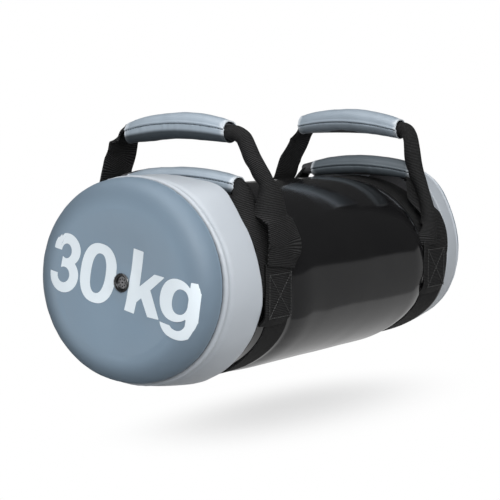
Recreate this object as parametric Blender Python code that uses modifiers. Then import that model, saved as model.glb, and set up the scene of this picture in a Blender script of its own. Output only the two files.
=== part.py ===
"""Sandbag trainer: a round sand-filled training bag that lies on its side, with four crosswise handles.

The bag lies along X, with its marked end at -X (front) and its plain end at +X (rear). Left is +Y.
The floor is z = 0, and every height is measured from it. A place is a distance from the bag's
middle along X. The bag is an outer skin of vinyl (a sleeve, two end bands and two end caps) over a
foam wrap, a liner and the sand. Two webbing straps go round it. Each strap carries a carry handle
that stands up and swings on its sewn ends, and a low handle that lies on the bag and lifts.
"""
import math

import bmesh
import bpy
from mathutils import Matrix, Vector

GAP = 0.0003                  # clearance between neighbouring pieces

# The skin's sections along the bag
SLEEVE_HALF_WIDTH = 0.1165
SLEEVE_TOP = 0.203
SLEEVE_SINK = 0.0018          # how far the flattened underside is pressed up
BAND_SIDE_STEP = 0.001        # how far each band stands out from the sleeve at its sides
BAND_TOP_STEP = 0.018
BAND_RADIUS = SLEEVE_HALF_WIDTH + BAND_SIDE_STEP
BAND_TOP = SLEEVE_TOP + BAND_TOP_STEP
BAND_SINK = 0.004
BAND_EDGE_PLACE = 0.1995      # inner edge of each band
BAND_WALL_RUN = 0.004         # length along X of the band's steep inner wall
SEAM_SIDE_DRAW = 0.0075       # how far the cap seam is drawn in from the band at its sides
SEAM_TOP_DRAW = 0.0015
SEAM_RADIUS = BAND_RADIUS - SEAM_SIDE_DRAW
SEAM_TOP = BAND_TOP - SEAM_TOP_DRAW
SEAM_CLEARANCE = 0.0075       # height of the cap seam above the floor
SEAM_PLACE = 0.2525

# End caps
CAP_WALL_RUN = 0.016          # from the seam to the start of the rounded edge
CAP_WALL_LEAN = 0.005
CAP_EDGE_RADIUS = 0.012
CAP_DISH = 0.007              # how far the middle is drawn in
CAP_FLAT_RADIUS = 0.014       # flat middle that the vent's flange seats on

# Wall thicknesses from the outside in
SKIN_WALL = 0.0015
FOAM_WALL = 0.005
LINER_WALL = 0.001
LINING_ROOM = 0.0012          # room between the foam, the liner and the sand
END_SEAT = 0.0005             # room between a disc's face and the piece behind it

# Webbing, girth straps and the sewn handle ends
WEB_WIDTH = 0.050
WEB_WALL = 0.002
STRAP_LIFT = GAP + WEB_WALL   # the straps lie between the sleeve and the floor
STRAP_PLACE = 0.169
PATCH_BOTTOM = 0.068          # height of the sewn patch's lower end
PATCH_BEND = 0.078            # height where the patch turns in towards the strap
PIVOT_HEIGHT = 0.150
NECK_WIDTH = 0.020            # the webbing gathered beside a grip
CORE_WIDTH = 0.014            # the webbing inside a grip

# Grips: a low grip rests on its strap beside the band, and a carry grip stands over it
GRIP_HALF_LENGTH = 0.069
GRIP_COVER_WALL = 0.0012
LOW_REST_CLEARANCE = 0.0005   # between a low grip and its strap
LOW_BAND_CLEARANCE = 0.0015   # between a low grip and the band beside it
FINGER_GAP = 0.0277           # from a low grip up to the carry grip
LOW_BOW = 0.0063
LOW_HALF_DEPTH = 0.0115
LOW_HALF_WIDTH = 0.014
LOW_END_HEIGHT = SLEEVE_TOP + STRAP_LIFT + LOW_REST_CLEARANCE + LOW_HALF_DEPTH - LOW_BOW
LOW_GRIP_PLACE = BAND_EDGE_PLACE - LOW_BAND_CLEARANCE - LOW_HALF_WIDTH
LOW_ROOT_PLACE = 0.173
LOW_ELBOW_REACH = 0.010
LOW_ELBOW_DROP = 0.0025
LOW_SHOULDER_INSET = 0.0091   # from the low leg's upright run to its shoulder
LOW_RUN_TOP = 0.125
LOW_RUN_LENGTH = 0.025        # of the upright sewn run
LOW_RUN_BOTTOM = LOW_RUN_TOP - LOW_RUN_LENGTH
LOW_SHOULDER_RISE = 0.026     # from the upright run to the shoulder
LOW_SHOULDER_HEIGHT = LOW_RUN_TOP + LOW_SHOULDER_RISE
CARRY_BOW = 0.007
CARRY_HALF_DEPTH = 0.014
CARRY_HALF_WIDTH = 0.0157
CARRY_END_HEIGHT = LOW_END_HEIGHT + LOW_BOW + LOW_HALF_DEPTH + FINGER_GAP + CARRY_HALF_DEPTH - CARRY_BOW
CARRY_GRIP_PLACE = 0.175
CARRY_ELBOW_REACH = 0.014     # from the grip's end to the corner of the leg
CARRY_ELBOW_DROP = 0.003
CARRY_KNEE_RISE = 0.004       # where the leg turns upright, above the pivot

# Vent in the front cap
VENT_BORE = 0.0066
VENT_BARREL_WALL = 0.0008
VENT_FLANGE_RADIUS = 0.0098
VENT_FLANGE_RISE = 0.0016
VENT_BARREL_DEPTH = 0.006
VENT_WASHER_WALL = 0.0007
VENT_SCREEN_WALL = 0.0006
VENT_SCREEN_DEPTH = 0.0012    # of the screen's face below the flange's seat
VENT_HOLE_RADIUS = 0.0009
VENT_RING_RADIUS = 0.0038     # of the ring of holes round the middle one
VENT_RING_HOLES = 8
VENT_POCKET = 0.0125          # radius of the hole in the foam behind the vent
OVERRUN = 0.002               # how far a cutter runs past what it cuts

# Facets
BAG_STEPS = 36
VENT_STEPS = 24
EDGE_STEPS = 3
FACE_STEPS = 3
BULGE_STEPS = 5
CORNER_STEPS = 4
GRIP_STEPS = 8
GRIP_RESOLUTION = 4
HOLE_STEPS = 6
MERGE = 0.00001

# Shares that shape a grip: how thick it is from its middle to its end
GRIP_THICKNESS_SHARES = (1.0, 0.985, 0.93, 0.83, 0.68)
LEG_TAPER_SHARE = 1.6         # exponent of the webbing's narrowing towards the grip
ROUND_END_SHARES = (0.35, 0.62, 0.82, 0.95)  # of the quarter turn round a leg's lower end

LEATHERETTE = (0.26, 0.33, 0.40)
BAND_GREY = (0.42, 0.45, 0.50)
BLACK_VINYL = (0.012, 0.012, 0.013)
BLACK_WEBBING = (0.014, 0.014, 0.015)
FOAM_GREY = (0.20, 0.20, 0.21)
LINER_GREY = (0.35, 0.35, 0.33)
SAND = (0.48, 0.38, 0.24)
CHROME = (0.55, 0.55, 0.57)


def clear_scene():
    for thing in list(bpy.data.objects):
        bpy.data.objects.remove(thing, do_unlink=True)


def new_collection(name):
    collection = bpy.data.collections.new(name)
    bpy.context.scene.collection.children.link(collection)
    return collection


clear_scene()
PARTS = new_collection("sandbag_trainer")
CUTTERS = new_collection("cutters")


def paint(thing, colour, roughness, metallic=0.0):
    material = bpy.data.materials.new(thing.name)
    material.use_nodes = True
    shader = material.node_tree.nodes["Principled BSDF"]
    shader.inputs["Base Color"].default_value = (*colour, 1.0)
    shader.inputs["Roughness"].default_value = roughness
    shader.inputs["Metallic"].default_value = metallic
    thing.data.materials.clear()
    thing.data.materials.append(material)


def add_object(name, data, collection=PARTS):
    thing = bpy.data.objects.new(name, data)
    collection.objects.link(thing)
    return thing


def mesh_from(name, vertices, edges=(), faces=()):
    mesh = bpy.data.meshes.new(name)
    mesh.from_pydata(vertices, edges, faces)
    mesh.update()
    return mesh


def baked(thing):
    """A plain mesh of the object as its modifiers or its curve make it; the object itself goes."""
    bpy.context.view_layer.update()
    evaluated = thing.evaluated_get(bpy.context.evaluated_depsgraph_get())
    mesh = bpy.data.meshes.new_from_object(evaluated)
    mesh.name = thing.name
    bpy.data.objects.remove(thing, do_unlink=True)
    form = bmesh.new()
    form.from_mesh(mesh)
    bmesh.ops.remove_doubles(form, verts=form.verts, dist=MERGE)
    form.to_mesh(mesh)
    form.free()
    return mesh


def smooth(thing):
    thing.data.shade_smooth()
    thing.data.set_sharp_from_angle(angle=math.radians(40))


def solidify(thing, wall, offset):
    modifier = thing.modifiers.new("wall", "SOLIDIFY")
    modifier.thickness = wall
    modifier.offset = offset
    modifier.use_even_offset = True


def between(low, high, share):
    return low + (high - low) * share


# Sections of the skin

SLEEVE_SECTION = (SLEEVE_HALF_WIDTH, SLEEVE_TOP, STRAP_LIFT - SLEEVE_SINK, STRAP_LIFT)
BAND_SECTION = (BAND_RADIUS, BAND_TOP, -BAND_SINK, 0.0)
SEAM_SECTION = (SEAM_RADIUS, SEAM_TOP, SEAM_CLEARANCE, 0.0)


def wall_places(depth):
    """Where the steep part between sleeve and band starts and ends, in a layer at this depth."""
    inset = max(depth, 0.0)
    return BAND_EDGE_PLACE + inset, BAND_EDGE_PLACE + BAND_WALL_RUN + 3 * inset


def section(place, depth=0.0):
    """Half width, top, unpressed bottom and resting height of the skin's outside at a place.

    A layer that lies deeper rises later and more gently, so that the steep walls nest.
    """
    along = abs(place)
    start, end = wall_places(depth)
    wall = min(max((along - start) / (end - start), 0.0), 1.0)
    wall = wall * wall * (3.0 - 2.0 * wall)
    run = SEAM_PLACE - BAND_EDGE_PLACE - BAND_WALL_RUN
    bulge = math.sqrt(min(max((SEAM_PLACE - along - max(depth, 0.0)) / run, 0.0), 1.0))
    band = [between(seam, full, bulge) for seam, full in zip(SEAM_SECTION, BAND_SECTION)]
    return [between(sleeve, outer, wall) for sleeve, outer in zip(SLEEVE_SECTION, band)]


def turned(name, profile, closed, steps):
    """A mesh turned about X. The profile lists (place, radius) from +X to -X down its outer side."""
    vertices = [(radius, 0.0, place) for place, radius in profile]
    edges = [(i, i + 1) for i in range(len(profile) - 1)]
    if closed:
        edges.append((len(profile) - 1, 0))
    thing = add_object(name, mesh_from(name, vertices, edges))
    screw = thing.modifiers.new("turn", "SCREW")
    screw.axis = "Z"
    screw.steps = steps
    screw.render_steps = steps
    screw.use_merge_vertices = True
    screw.merge_threshold = MERGE
    mesh = baked(thing)
    mesh.transform(Matrix.Rotation(math.pi / 2, 4, "Y"))
    return mesh


def settle(mesh, depth):
    """Presses a turned mesh, whose outside lies depth inside the skin, into the lying bag's form."""
    for vertex in mesh.vertices:
        half_width, top, bottom, rest = section(vertex.co.x, depth)
        half_height = (top - bottom) / 2
        squash = (half_height - depth) / (half_width - depth)
        height = (top + bottom) / 2 + vertex.co.z * squash
        vertex.co.z = max(height, rest + depth)


def bag_piece(name, profile, depth, closed=False):
    mesh = turned(name, profile, closed, BAG_STEPS)
    settle(mesh, depth)
    thing = add_object(name, mesh)
    smooth(thing)
    return thing


def side_name(stem, side):
    return f"{stem}_front" if side < 0 else f"{stem}_rear"


def ordered(side, profile):
    """A profile written outwards from the middle, in the order that turning needs."""
    placed = [(side * place, radius) for place, radius in profile]
    return placed if side < 0 else placed[::-1]


def skin_profile(start, end, steps, depth):
    places = [between(start, end, i / steps) for i in range(steps + 1)]
    return [(place, section(place, depth)[0] - depth) for place in places]


# Depths of the layers below the skin's outside
FOAM_DEPTH = SKIN_WALL + GAP
LINER_DEPTH = FOAM_DEPTH + FOAM_WALL + LINING_ROOM
SAND_DEPTH = LINER_DEPTH + LINER_WALL + LINING_ROOM


def wrap_profile(end, depth):
    """The whole length of the bag at one depth, with stations where the section changes."""
    start, full = wall_places(depth)
    half = skin_profile(start, full, 1, depth) + skin_profile(full, end, 2, depth)[1:]
    return [(place, radius) for place, radius in reversed(half)] + [(-place, radius) for place, radius in half]


def make_filling():
    sand_end = SEAM_PLACE - 2 * END_SEAT - LINER_WALL - GAP
    profile = wrap_profile(sand_end, SAND_DEPTH)
    profile = [(sand_end, 0.0)] + profile + [(-sand_end, 0.0)]
    paint(bag_piece("sand_fill", profile, SAND_DEPTH), SAND, 0.95)

    liner_end = SEAM_PLACE - 2 * END_SEAT
    liner = bag_piece("sand_liner", wrap_profile(liner_end, LINER_DEPTH), LINER_DEPTH)
    solidify(liner, LINER_WALL, -1.0)
    paint(liner, LINER_GREY, 0.6)

    foam = bag_piece("foam_wrap", wrap_profile(SEAM_PLACE - END_SEAT, FOAM_DEPTH), FOAM_DEPTH)
    solidify(foam, FOAM_WALL, -1.0)
    paint(foam, FOAM_GREY, 0.9)


def make_liner_end(side):
    inner = SEAM_PLACE - 2 * END_SEAT - LINER_WALL
    outer = SEAM_PLACE - 2 * END_SEAT
    radius = section(outer, SAND_DEPTH)[0] - SAND_DEPTH
    profile = ordered(side, [(inner, 0.0), (inner, radius), (outer, radius), (outer, 0.0)])
    paint(bag_piece(side_name("liner_end", side), profile, SAND_DEPTH), LINER_GREY, 0.6)


# The caps are round panels that the lying bag presses a little lower than they are wide
CAP_MIDDLE_HEIGHT = (SEAM_TOP + SEAM_CLEARANCE) / 2
CAP_SQUASH = (SEAM_TOP - SEAM_CLEARANCE) / (2 * SEAM_RADIUS)


def cap_profile(depth):
    """The cap's profile from its seam to its middle, set in by a depth."""
    wall_radius = SEAM_RADIUS - CAP_WALL_LEAN
    edge_place = SEAM_PLACE + CAP_WALL_RUN
    edge_radius = CAP_EDGE_RADIUS - depth
    face_radius = wall_radius - CAP_EDGE_RADIUS
    start = SEAM_PLACE + GAP
    points = [(start, SEAM_RADIUS - depth), (start + SKIN_WALL, SEAM_RADIUS - depth)]
    for i in range(EDGE_STEPS + 1):
        turn = math.pi / 2 * i / EDGE_STEPS
        points.append((edge_place + edge_radius * math.sin(turn), face_radius + edge_radius * math.cos(turn)))
    for i in range(1, FACE_STEPS):
        share = 1.0 - i / FACE_STEPS
        dish = CAP_DISH * (1.0 - share * share) ** 2
        points.append((edge_place + edge_radius - dish, face_radius * share))
    middle = edge_place + edge_radius - CAP_DISH
    return points + [(middle, CAP_FLAT_RADIUS), (middle, 0.0)]


def make_cap(side):
    points = cap_profile(0.0)
    foam_depth = SKIN_WALL + 2 * GAP
    foam_face = cap_profile(foam_depth)
    seat = SEAM_PLACE + GAP
    if side < 0:
        points[-1] = (points[-1][0], (VENT_BORE + VENT_BARREL_WALL + 2 * GAP) / min(CAP_SQUASH, 1.0))
        foam_face[-1] = (foam_face[-1][0], VENT_POCKET)
        foam_back = [(seat, VENT_POCKET)]
    else:
        foam_back = [(seat, 0.0)]
    cap = bag_piece(side_name("end_cap", side), ordered(side, points), 0.0)
    solidify(cap, SKIN_WALL, -1.0)
    paint(cap, LEATHERETTE, 0.45)
    profile = ordered(side, foam_back + foam_face)
    pad = bag_piece(side_name("foam_end", side), profile, foam_depth, closed=side < 0)
    paint(pad, FOAM_GREY, 0.9)


def make_skin():
    edge = BAND_EDGE_PLACE - GAP
    sleeve = bag_piece("body_sleeve", skin_profile(edge, -edge, 2, 0.0), 0.0)
    solidify(sleeve, SKIN_WALL, -1.0)
    paint(sleeve, BLACK_VINYL, 0.25)
    for side in (-1, 1):
        start, full = wall_places(0.0)
        profile = skin_profile(start, full, 2, 0.0) + skin_profile(full, SEAM_PLACE, BULGE_STEPS, 0.0)[1:]
        band = bag_piece(side_name("end_band", side), ordered(side, profile), 0.0)
        solidify(band, SKIN_WALL, -1.0)
        paint(band, BAND_GREY, 0.4)
        make_cap(side)


def make_strap(side):
    """One girth strap, a closed loop of webbing over the sleeve."""
    depth = -STRAP_LIFT
    inner = STRAP_PLACE - WEB_WIDTH / 2
    outer = STRAP_PLACE + WEB_WIDTH / 2
    profile = skin_profile(inner, outer, 1, depth)
    strap = bag_piece(side_name("girth_strap", side), ordered(side, profile), depth)
    solidify(strap, WEB_WALL, -1.0)
    paint(strap, BLACK_WEBBING, 0.8)


# The vent: an eyelet clinched on a washer behind the cap's skin, with a screen in its bore

CAP_MIDDLE_PLACE = SEAM_PLACE + CAP_WALL_RUN + CAP_EDGE_RADIUS - CAP_DISH
VENT_PLACE = -CAP_MIDDLE_PLACE - GAP


def vent_piece(name, profile, closed=True):
    mesh = turned(name, [(VENT_PLACE + out, radius) for out, radius in profile], closed, VENT_STEPS)
    mesh.transform(Matrix.Translation((0.0, 0.0, CAP_MIDDLE_HEIGHT)))
    thing = add_object(name, mesh)
    smooth(thing)
    return thing


def vent_holes():
    """The screen's drill: one round rod for the middle hole and for each hole round it."""
    rods = bmesh.new()
    spots = [(0.0, 0.0)]
    for i in range(VENT_RING_HOLES):
        angle = math.tau * i / VENT_RING_HOLES
        spots.append((VENT_RING_RADIUS * math.cos(angle), VENT_RING_RADIUS * math.sin(angle)))
    lying = Matrix.Rotation(math.pi / 2, 4, "Y")
    depth = 2 * (VENT_SCREEN_WALL + OVERRUN)
    middle = VENT_PLACE + VENT_SCREEN_DEPTH
    for across, up in spots:
        spot = Matrix.Translation((middle, across, CAP_MIDDLE_HEIGHT + up))
        bmesh.ops.create_cone(rods, cap_ends=True, segments=HOLE_STEPS, radius1=VENT_HOLE_RADIUS,
                              radius2=VENT_HOLE_RADIUS, depth=depth, matrix=spot @ lying)
    mesh = bpy.data.meshes.new("vent_drill")
    rods.to_mesh(mesh)
    rods.free()
    drill = add_object("vent_drill", mesh, CUTTERS)
    drill.display_type = "WIRE"
    drill.hide_render = True
    return drill


def make_vent():
    barrel = VENT_BORE + VENT_BARREL_WALL
    eyelet = [(VENT_BARREL_DEPTH, VENT_BORE), (VENT_BARREL_DEPTH, barrel), (0.0, barrel),
              (0.0, VENT_FLANGE_RADIUS), (-VENT_FLANGE_RISE / 2, VENT_FLANGE_RADIUS),
              (-VENT_FLANGE_RISE, between(barrel, VENT_FLANGE_RADIUS, 0.5)), (-VENT_FLANGE_RISE / 2, VENT_BORE)]
    paint(vent_piece("vent_eyelet", eyelet), CHROME, 0.2, 1.0)
    back = SKIN_WALL + 2 * GAP
    hole = barrel + GAP
    washer = [(back + VENT_WASHER_WALL, hole), (back + VENT_WASHER_WALL, VENT_FLANGE_RADIUS),
              (back, VENT_FLANGE_RADIUS), (back, hole)]
    paint(vent_piece("vent_washer", washer), CHROME, 0.3, 1.0)
    rim = VENT_BORE - GAP
    back = VENT_SCREEN_DEPTH + VENT_SCREEN_WALL
    disc = [(back, 0.0), (back, rim), (VENT_SCREEN_DEPTH, rim), (VENT_SCREEN_DEPTH, 0.0)]
    screen = vent_piece("vent_screen", disc, closed=False)
    cut(screen, vent_holes())
    paint(screen, CHROME, 0.35, 1.0)


def cut(thing, cutter):
    modifier = thing.modifiers.new("cut", "BOOLEAN")
    modifier.operation = "DIFFERENCE"
    modifier.solver = "EXACT"
    modifier.object = cutter


# Webbing strips: each station is (place, y, height, width)

LOW_LAYER = SLEEVE_HALF_WIDTH + STRAP_LIFT + GAP + WEB_WALL / 2
CARRY_LAYER = LOW_LAYER + STRAP_LIFT


def rounded(corners, reach):
    """The corners' path with each inner corner turned into a short curve."""
    path = [corners[0]]
    for before, corner, after in zip(corners, corners[1:], corners[2:]):
        back = corner + (before - corner).normalized() * min(reach, (before - corner).length / 2)
        ahead = corner + (after - corner).normalized() * min(reach, (after - corner).length / 2)
        for i in range(CORNER_STEPS + 1):
            share = i / CORNER_STEPS
            path.append(back.lerp(corner, share).lerp(corner.lerp(ahead, share), share))
    return path + [corners[-1]]


def bow_height(end_height, bow, y):
    return end_height + bow * (1.0 - (y / GRIP_HALF_LENGTH) ** 2)


def grip_line(end_height, bow, steps):
    ys = [GRIP_HALF_LENGTH * i / steps for i in range(steps + 1)]
    return [Vector((y, bow_height(end_height, bow, y))) for y in ys]


def strip(name, stations, origin, wall, mirrored, collection=PARTS):
    """A strip of webbing through its stations, for y of zero and more, mirrored to the other side."""
    vertices = []
    for place, y, height, width in stations:
        for across in (-0.5, 0.0, 0.5):
            vertices.append(Vector((place + across * width, y, height)) - origin)
    faces = []
    for i in range(len(stations) - 1):
        for j in range(2):
            a = 3 * i + j
            faces.append((a, a + 1, a + 4, a + 3))
    thing = add_object(name, mesh_from(name, vertices, faces=faces), collection)
    thing.location = origin
    if mirrored:
        mirror = thing.modifiers.new("other_side", "MIRROR")
        mirror.use_axis = (False, True, False)
        mirror.merge_threshold = MERGE
    solidify(thing, wall, 0.0)
    smooth(thing)
    return thing


def leg_stations(path, side, root_place, grip_place, root_height, neck_height):
    """Places and widths along a leg: full webbing at its root, gathered at the grip."""
    stations = []
    for point in path:
        y, height = point
        share = min(max((height - root_height) / (neck_height - root_height), 0.0), 1.0)
        width = between(NECK_WIDTH, WEB_WIDTH, (1.0 - share) ** LEG_TAPER_SHARE)
        stations.append((side * between(root_place, grip_place, share), y, height, width))
    return stations


def carry_webbing(side, name, origin):
    end = Vector((GRIP_HALF_LENGTH, CARRY_END_HEIGHT))
    elbow = end + Vector((CARRY_ELBOW_REACH, -CARRY_ELBOW_DROP))
    knee = Vector((CARRY_LAYER, PIVOT_HEIGHT + CARRY_KNEE_RISE))
    root = Vector((CARRY_LAYER, PIVOT_HEIGHT))
    leg = rounded([end, elbow, knee, root], CARRY_ELBOW_REACH)[1:]
    core = grip_line(CARRY_END_HEIGHT, CARRY_BOW, GRIP_STEPS // 2)
    stations = [(side * CARRY_GRIP_PLACE, y, height, CORE_WIDTH) for y, height in core]
    stations += leg_stations(leg, side, STRAP_PLACE, CARRY_GRIP_PLACE, PIVOT_HEIGHT, CARRY_END_HEIGHT)
    for share in ROUND_END_SHARES:
        drop = WEB_WIDTH / 2 * math.sin(share * math.pi / 2)
        width = WEB_WIDTH * math.cos(share * math.pi / 2)
        stations.append((side * STRAP_PLACE, CARRY_LAYER, PIVOT_HEIGHT - drop, width))
    return strip(name, stations, origin, WEB_WALL, True)


def low_webbing(side, name, origin):
    end = Vector((GRIP_HALF_LENGTH, LOW_END_HEIGHT))
    elbow = end + Vector((LOW_ELBOW_REACH, -LOW_ELBOW_DROP))
    shoulder = Vector((LOW_LAYER - LOW_SHOULDER_INSET, LOW_SHOULDER_HEIGHT))
    run_top = Vector((LOW_LAYER, LOW_RUN_TOP))
    run_bottom = Vector((LOW_LAYER, LOW_RUN_BOTTOM))
    leg = rounded([end, elbow, shoulder, run_top, run_bottom], LOW_ELBOW_REACH)[1:]
    core = grip_line(LOW_END_HEIGHT, LOW_BOW, GRIP_STEPS // 2)
    stations = [(side * LOW_GRIP_PLACE, y, height, CORE_WIDTH) for y, height in core]
    stations += leg_stations(leg, side, LOW_ROOT_PLACE, LOW_GRIP_PLACE, LOW_RUN_TOP, LOW_END_HEIGHT)
    return strip(name, stations, origin, WEB_WALL, True)


def grip_roll(name, place, end_height, bow, half_depth, half_width, inset, filled):
    """A bowed oval roll, thickest in its middle, set in from the grip's outside by inset."""
    curve = bpy.data.curves.new(name, "CURVE")
    curve.dimensions = "3D"
    curve.bevel_depth = half_depth
    curve.bevel_resolution = GRIP_RESOLUTION
    curve.use_fill_caps = filled
    spline = curve.splines.new("POLY")
    spline.points.add(GRIP_STEPS)
    for i, point in enumerate(spline.points):
        share = 2.0 * i / GRIP_STEPS - 1.0
        y = share * (GRIP_HALF_LENGTH - inset)
        point.co = (0.0, y, bow_height(end_height, bow, y), 1.0)
        thickness = half_depth * GRIP_THICKNESS_SHARES[abs(i - GRIP_STEPS // 2)] - inset
        point.radius = thickness / half_depth
    mesh = baked(add_object(name, curve))
    oval = (half_width - inset) / (half_depth - inset)
    mesh.transform(Matrix.Translation((place, 0.0, 0.0)) @ Matrix.Scale(oval, 4, (1.0, 0.0, 0.0)))
    return mesh


def moved_to(name, mesh, origin):
    mesh.transform(Matrix.Translation(-origin))
    thing = add_object(name, mesh)
    thing.location = origin
    smooth(thing)
    return thing


def grip_slot(name, place, end_height, bow):
    """The cutter for the webbing's way through the foam."""
    length = GRIP_HALF_LENGTH + OVERRUN
    stations = []
    for i in range(GRIP_STEPS + 1):
        y = between(-length, length, i / GRIP_STEPS)
        stations.append((place, y, bow_height(end_height, bow, y), CORE_WIDTH + 2 * GAP))
    slot = strip(name, stations, Vector((0.0, 0.0, 0.0)), WEB_WALL + 3 * GAP, False, CUTTERS)
    slot.display_type = "WIRE"
    slot.hide_render = True
    return slot


def make_grip(stem, place, end_height, bow, half_depth, half_width, origin):
    shape = (place, end_height, bow, half_depth, half_width)
    cover = moved_to(f"{stem}_cover", grip_roll(f"{stem}_cover", *shape, 0.0, False), origin)
    solidify(cover, GRIP_COVER_WALL, -1.0)
    paint(cover, LEATHERETTE, 0.45)
    foam_mesh = grip_roll(f"{stem}_foam", *shape, GRIP_COVER_WALL + GAP, True)
    foam = moved_to(f"{stem}_foam", foam_mesh, origin)
    cut(foam, grip_slot(f"{stem}_slot", place, end_height, bow))
    paint(foam, FOAM_GREY, 0.9)
    return [cover, foam]


def hang_on(pivot_name, origin, pieces):
    """An empty on the handle's joint, which carries its pieces."""
    pivot = add_object(pivot_name, None)
    pivot.location = origin
    bpy.context.view_layer.update()
    for piece in pieces:
        piece.parent = pivot
        piece.matrix_parent_inverse = pivot.matrix_world.inverted()


def make_carry_handle(side):
    stem = "front_carry_handle" if side < 0 else "rear_carry_handle"
    origin = Vector((side * STRAP_PLACE, 0.0, PIVOT_HEIGHT))
    webbing = carry_webbing(side, f"{stem}_webbing", origin)
    paint(webbing, BLACK_WEBBING, 0.8)
    pieces = make_grip(stem, side * CARRY_GRIP_PLACE, CARRY_END_HEIGHT, CARRY_BOW, CARRY_HALF_DEPTH,
                       CARRY_HALF_WIDTH, origin)
    hang_on(f"{stem}_pivot", origin, [webbing] + pieces)


def make_low_handle(side):
    stem = "front_low_handle" if side < 0 else "rear_low_handle"
    origin = Vector((side * LOW_ROOT_PLACE, 0.0, LOW_RUN_TOP))
    webbing = low_webbing(side, f"{stem}_webbing", origin)
    paint(webbing, BLACK_WEBBING, 0.8)
    pieces = make_grip(stem, side * LOW_GRIP_PLACE, LOW_END_HEIGHT, LOW_BOW, LOW_HALF_DEPTH, LOW_HALF_WIDTH,
                       origin)
    hang_on(f"{stem}_lift", origin, [webbing] + pieces)


def strap_side(height):
    """Half width of the girth strap's outside at a height."""
    half_width, top, bottom, _ = SLEEVE_SECTION
    half_height = (top - bottom) / 2 + STRAP_LIFT
    share = (height - (top + bottom) / 2) / half_height
    return (half_width + STRAP_LIFT) * math.sqrt(1.0 - share * share)


def make_patch(side, across):
    """A sewn webbing end over the low leg, turned in at its lower end to meet the girth strap."""
    name = side_name("handle_patch", side) + ("_left" if across > 0 else "_right")
    top = PIVOT_HEIGHT - WEB_WIDTH / 2 - GAP
    lean = (strap_side(PATCH_BOTTOM - WEB_WALL) - strap_side(PATCH_BOTTOM + WEB_WALL)) / (2 * WEB_WALL)
    stand_off = (WEB_WALL / 2 + 2 * GAP) * math.sqrt(1.0 + lean * lean)
    foot = Vector((strap_side(PATCH_BOTTOM) + stand_off, PATCH_BOTTOM))
    corners = [Vector((CARRY_LAYER, top)), Vector((CARRY_LAYER, PATCH_BEND)), foot]
    path = rounded(corners, PATCH_BEND - PATCH_BOTTOM)
    stations = [(side * STRAP_PLACE, across * y, height, WEB_WIDTH) for y, height in path]
    patch = strip(name, stations, Vector((0.0, 0.0, 0.0)), WEB_WALL, False)
    paint(patch, BLACK_WEBBING, 0.8)


make_filling()
make_skin()
make_vent()
for end in (-1, 1):
    make_liner_end(end)
    make_strap(end)
    for half in (-1, 1):
        make_patch(end, half)
    make_carry_handle(end)
    make_low_handle(end)
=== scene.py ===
import math
import bmesh
import bpy
import numpy as np
from mathutils import Matrix, Vector, noise


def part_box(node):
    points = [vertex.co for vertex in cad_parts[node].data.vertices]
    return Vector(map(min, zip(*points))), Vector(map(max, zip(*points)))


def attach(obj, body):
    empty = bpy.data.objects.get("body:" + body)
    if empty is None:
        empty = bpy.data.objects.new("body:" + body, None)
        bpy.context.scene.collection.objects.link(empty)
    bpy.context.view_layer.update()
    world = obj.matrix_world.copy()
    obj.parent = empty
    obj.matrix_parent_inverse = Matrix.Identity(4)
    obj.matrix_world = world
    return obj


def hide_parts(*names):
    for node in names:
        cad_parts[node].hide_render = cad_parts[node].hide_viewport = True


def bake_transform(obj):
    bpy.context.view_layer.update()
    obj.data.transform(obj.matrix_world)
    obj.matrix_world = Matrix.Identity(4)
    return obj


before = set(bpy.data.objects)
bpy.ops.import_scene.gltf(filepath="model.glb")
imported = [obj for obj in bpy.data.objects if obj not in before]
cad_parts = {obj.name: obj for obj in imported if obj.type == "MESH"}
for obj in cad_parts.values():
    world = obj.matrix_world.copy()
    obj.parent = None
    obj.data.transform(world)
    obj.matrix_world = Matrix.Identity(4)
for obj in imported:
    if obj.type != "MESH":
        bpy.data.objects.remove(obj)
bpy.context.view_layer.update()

# The camera
# It looks at the marked end from the bag's right, a little above the bag, through a long lens.
VIEW_AZIMUTH = math.radians(-56.28)
VIEW_ELEVATION = math.radians(5.449)
VIEW_ROLL = math.radians(0.4275)
VIEW_PLACE = Vector((-1.5473, -1.0055, 0.302))
VIEW_LENS_MM = 116.17


def add_object(name, data):
    thing = bpy.data.objects.new(name, data)
    bpy.context.scene.collection.objects.link(thing)
    return thing


view_back = Vector((math.sin(VIEW_AZIMUTH) * math.cos(VIEW_ELEVATION),
                    -math.cos(VIEW_AZIMUTH) * math.cos(VIEW_ELEVATION), math.sin(VIEW_ELEVATION)))
level_right = Vector((math.cos(VIEW_AZIMUTH), math.sin(VIEW_AZIMUTH), 0.0))
level_up = view_back.cross(level_right)
view_right = math.cos(VIEW_ROLL) * level_right + math.sin(VIEW_ROLL) * level_up
view_up = -math.sin(VIEW_ROLL) * level_right + math.cos(VIEW_ROLL) * level_up
camera = add_object("camera", bpy.data.cameras.new("camera"))
camera.data.lens = VIEW_LENS_MM
turned = Matrix((view_right, view_up, view_back)).transposed().to_4x4()
camera.matrix_world = Matrix.Translation(VIEW_PLACE) @ turned
bpy.context.scene.camera = camera

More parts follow.
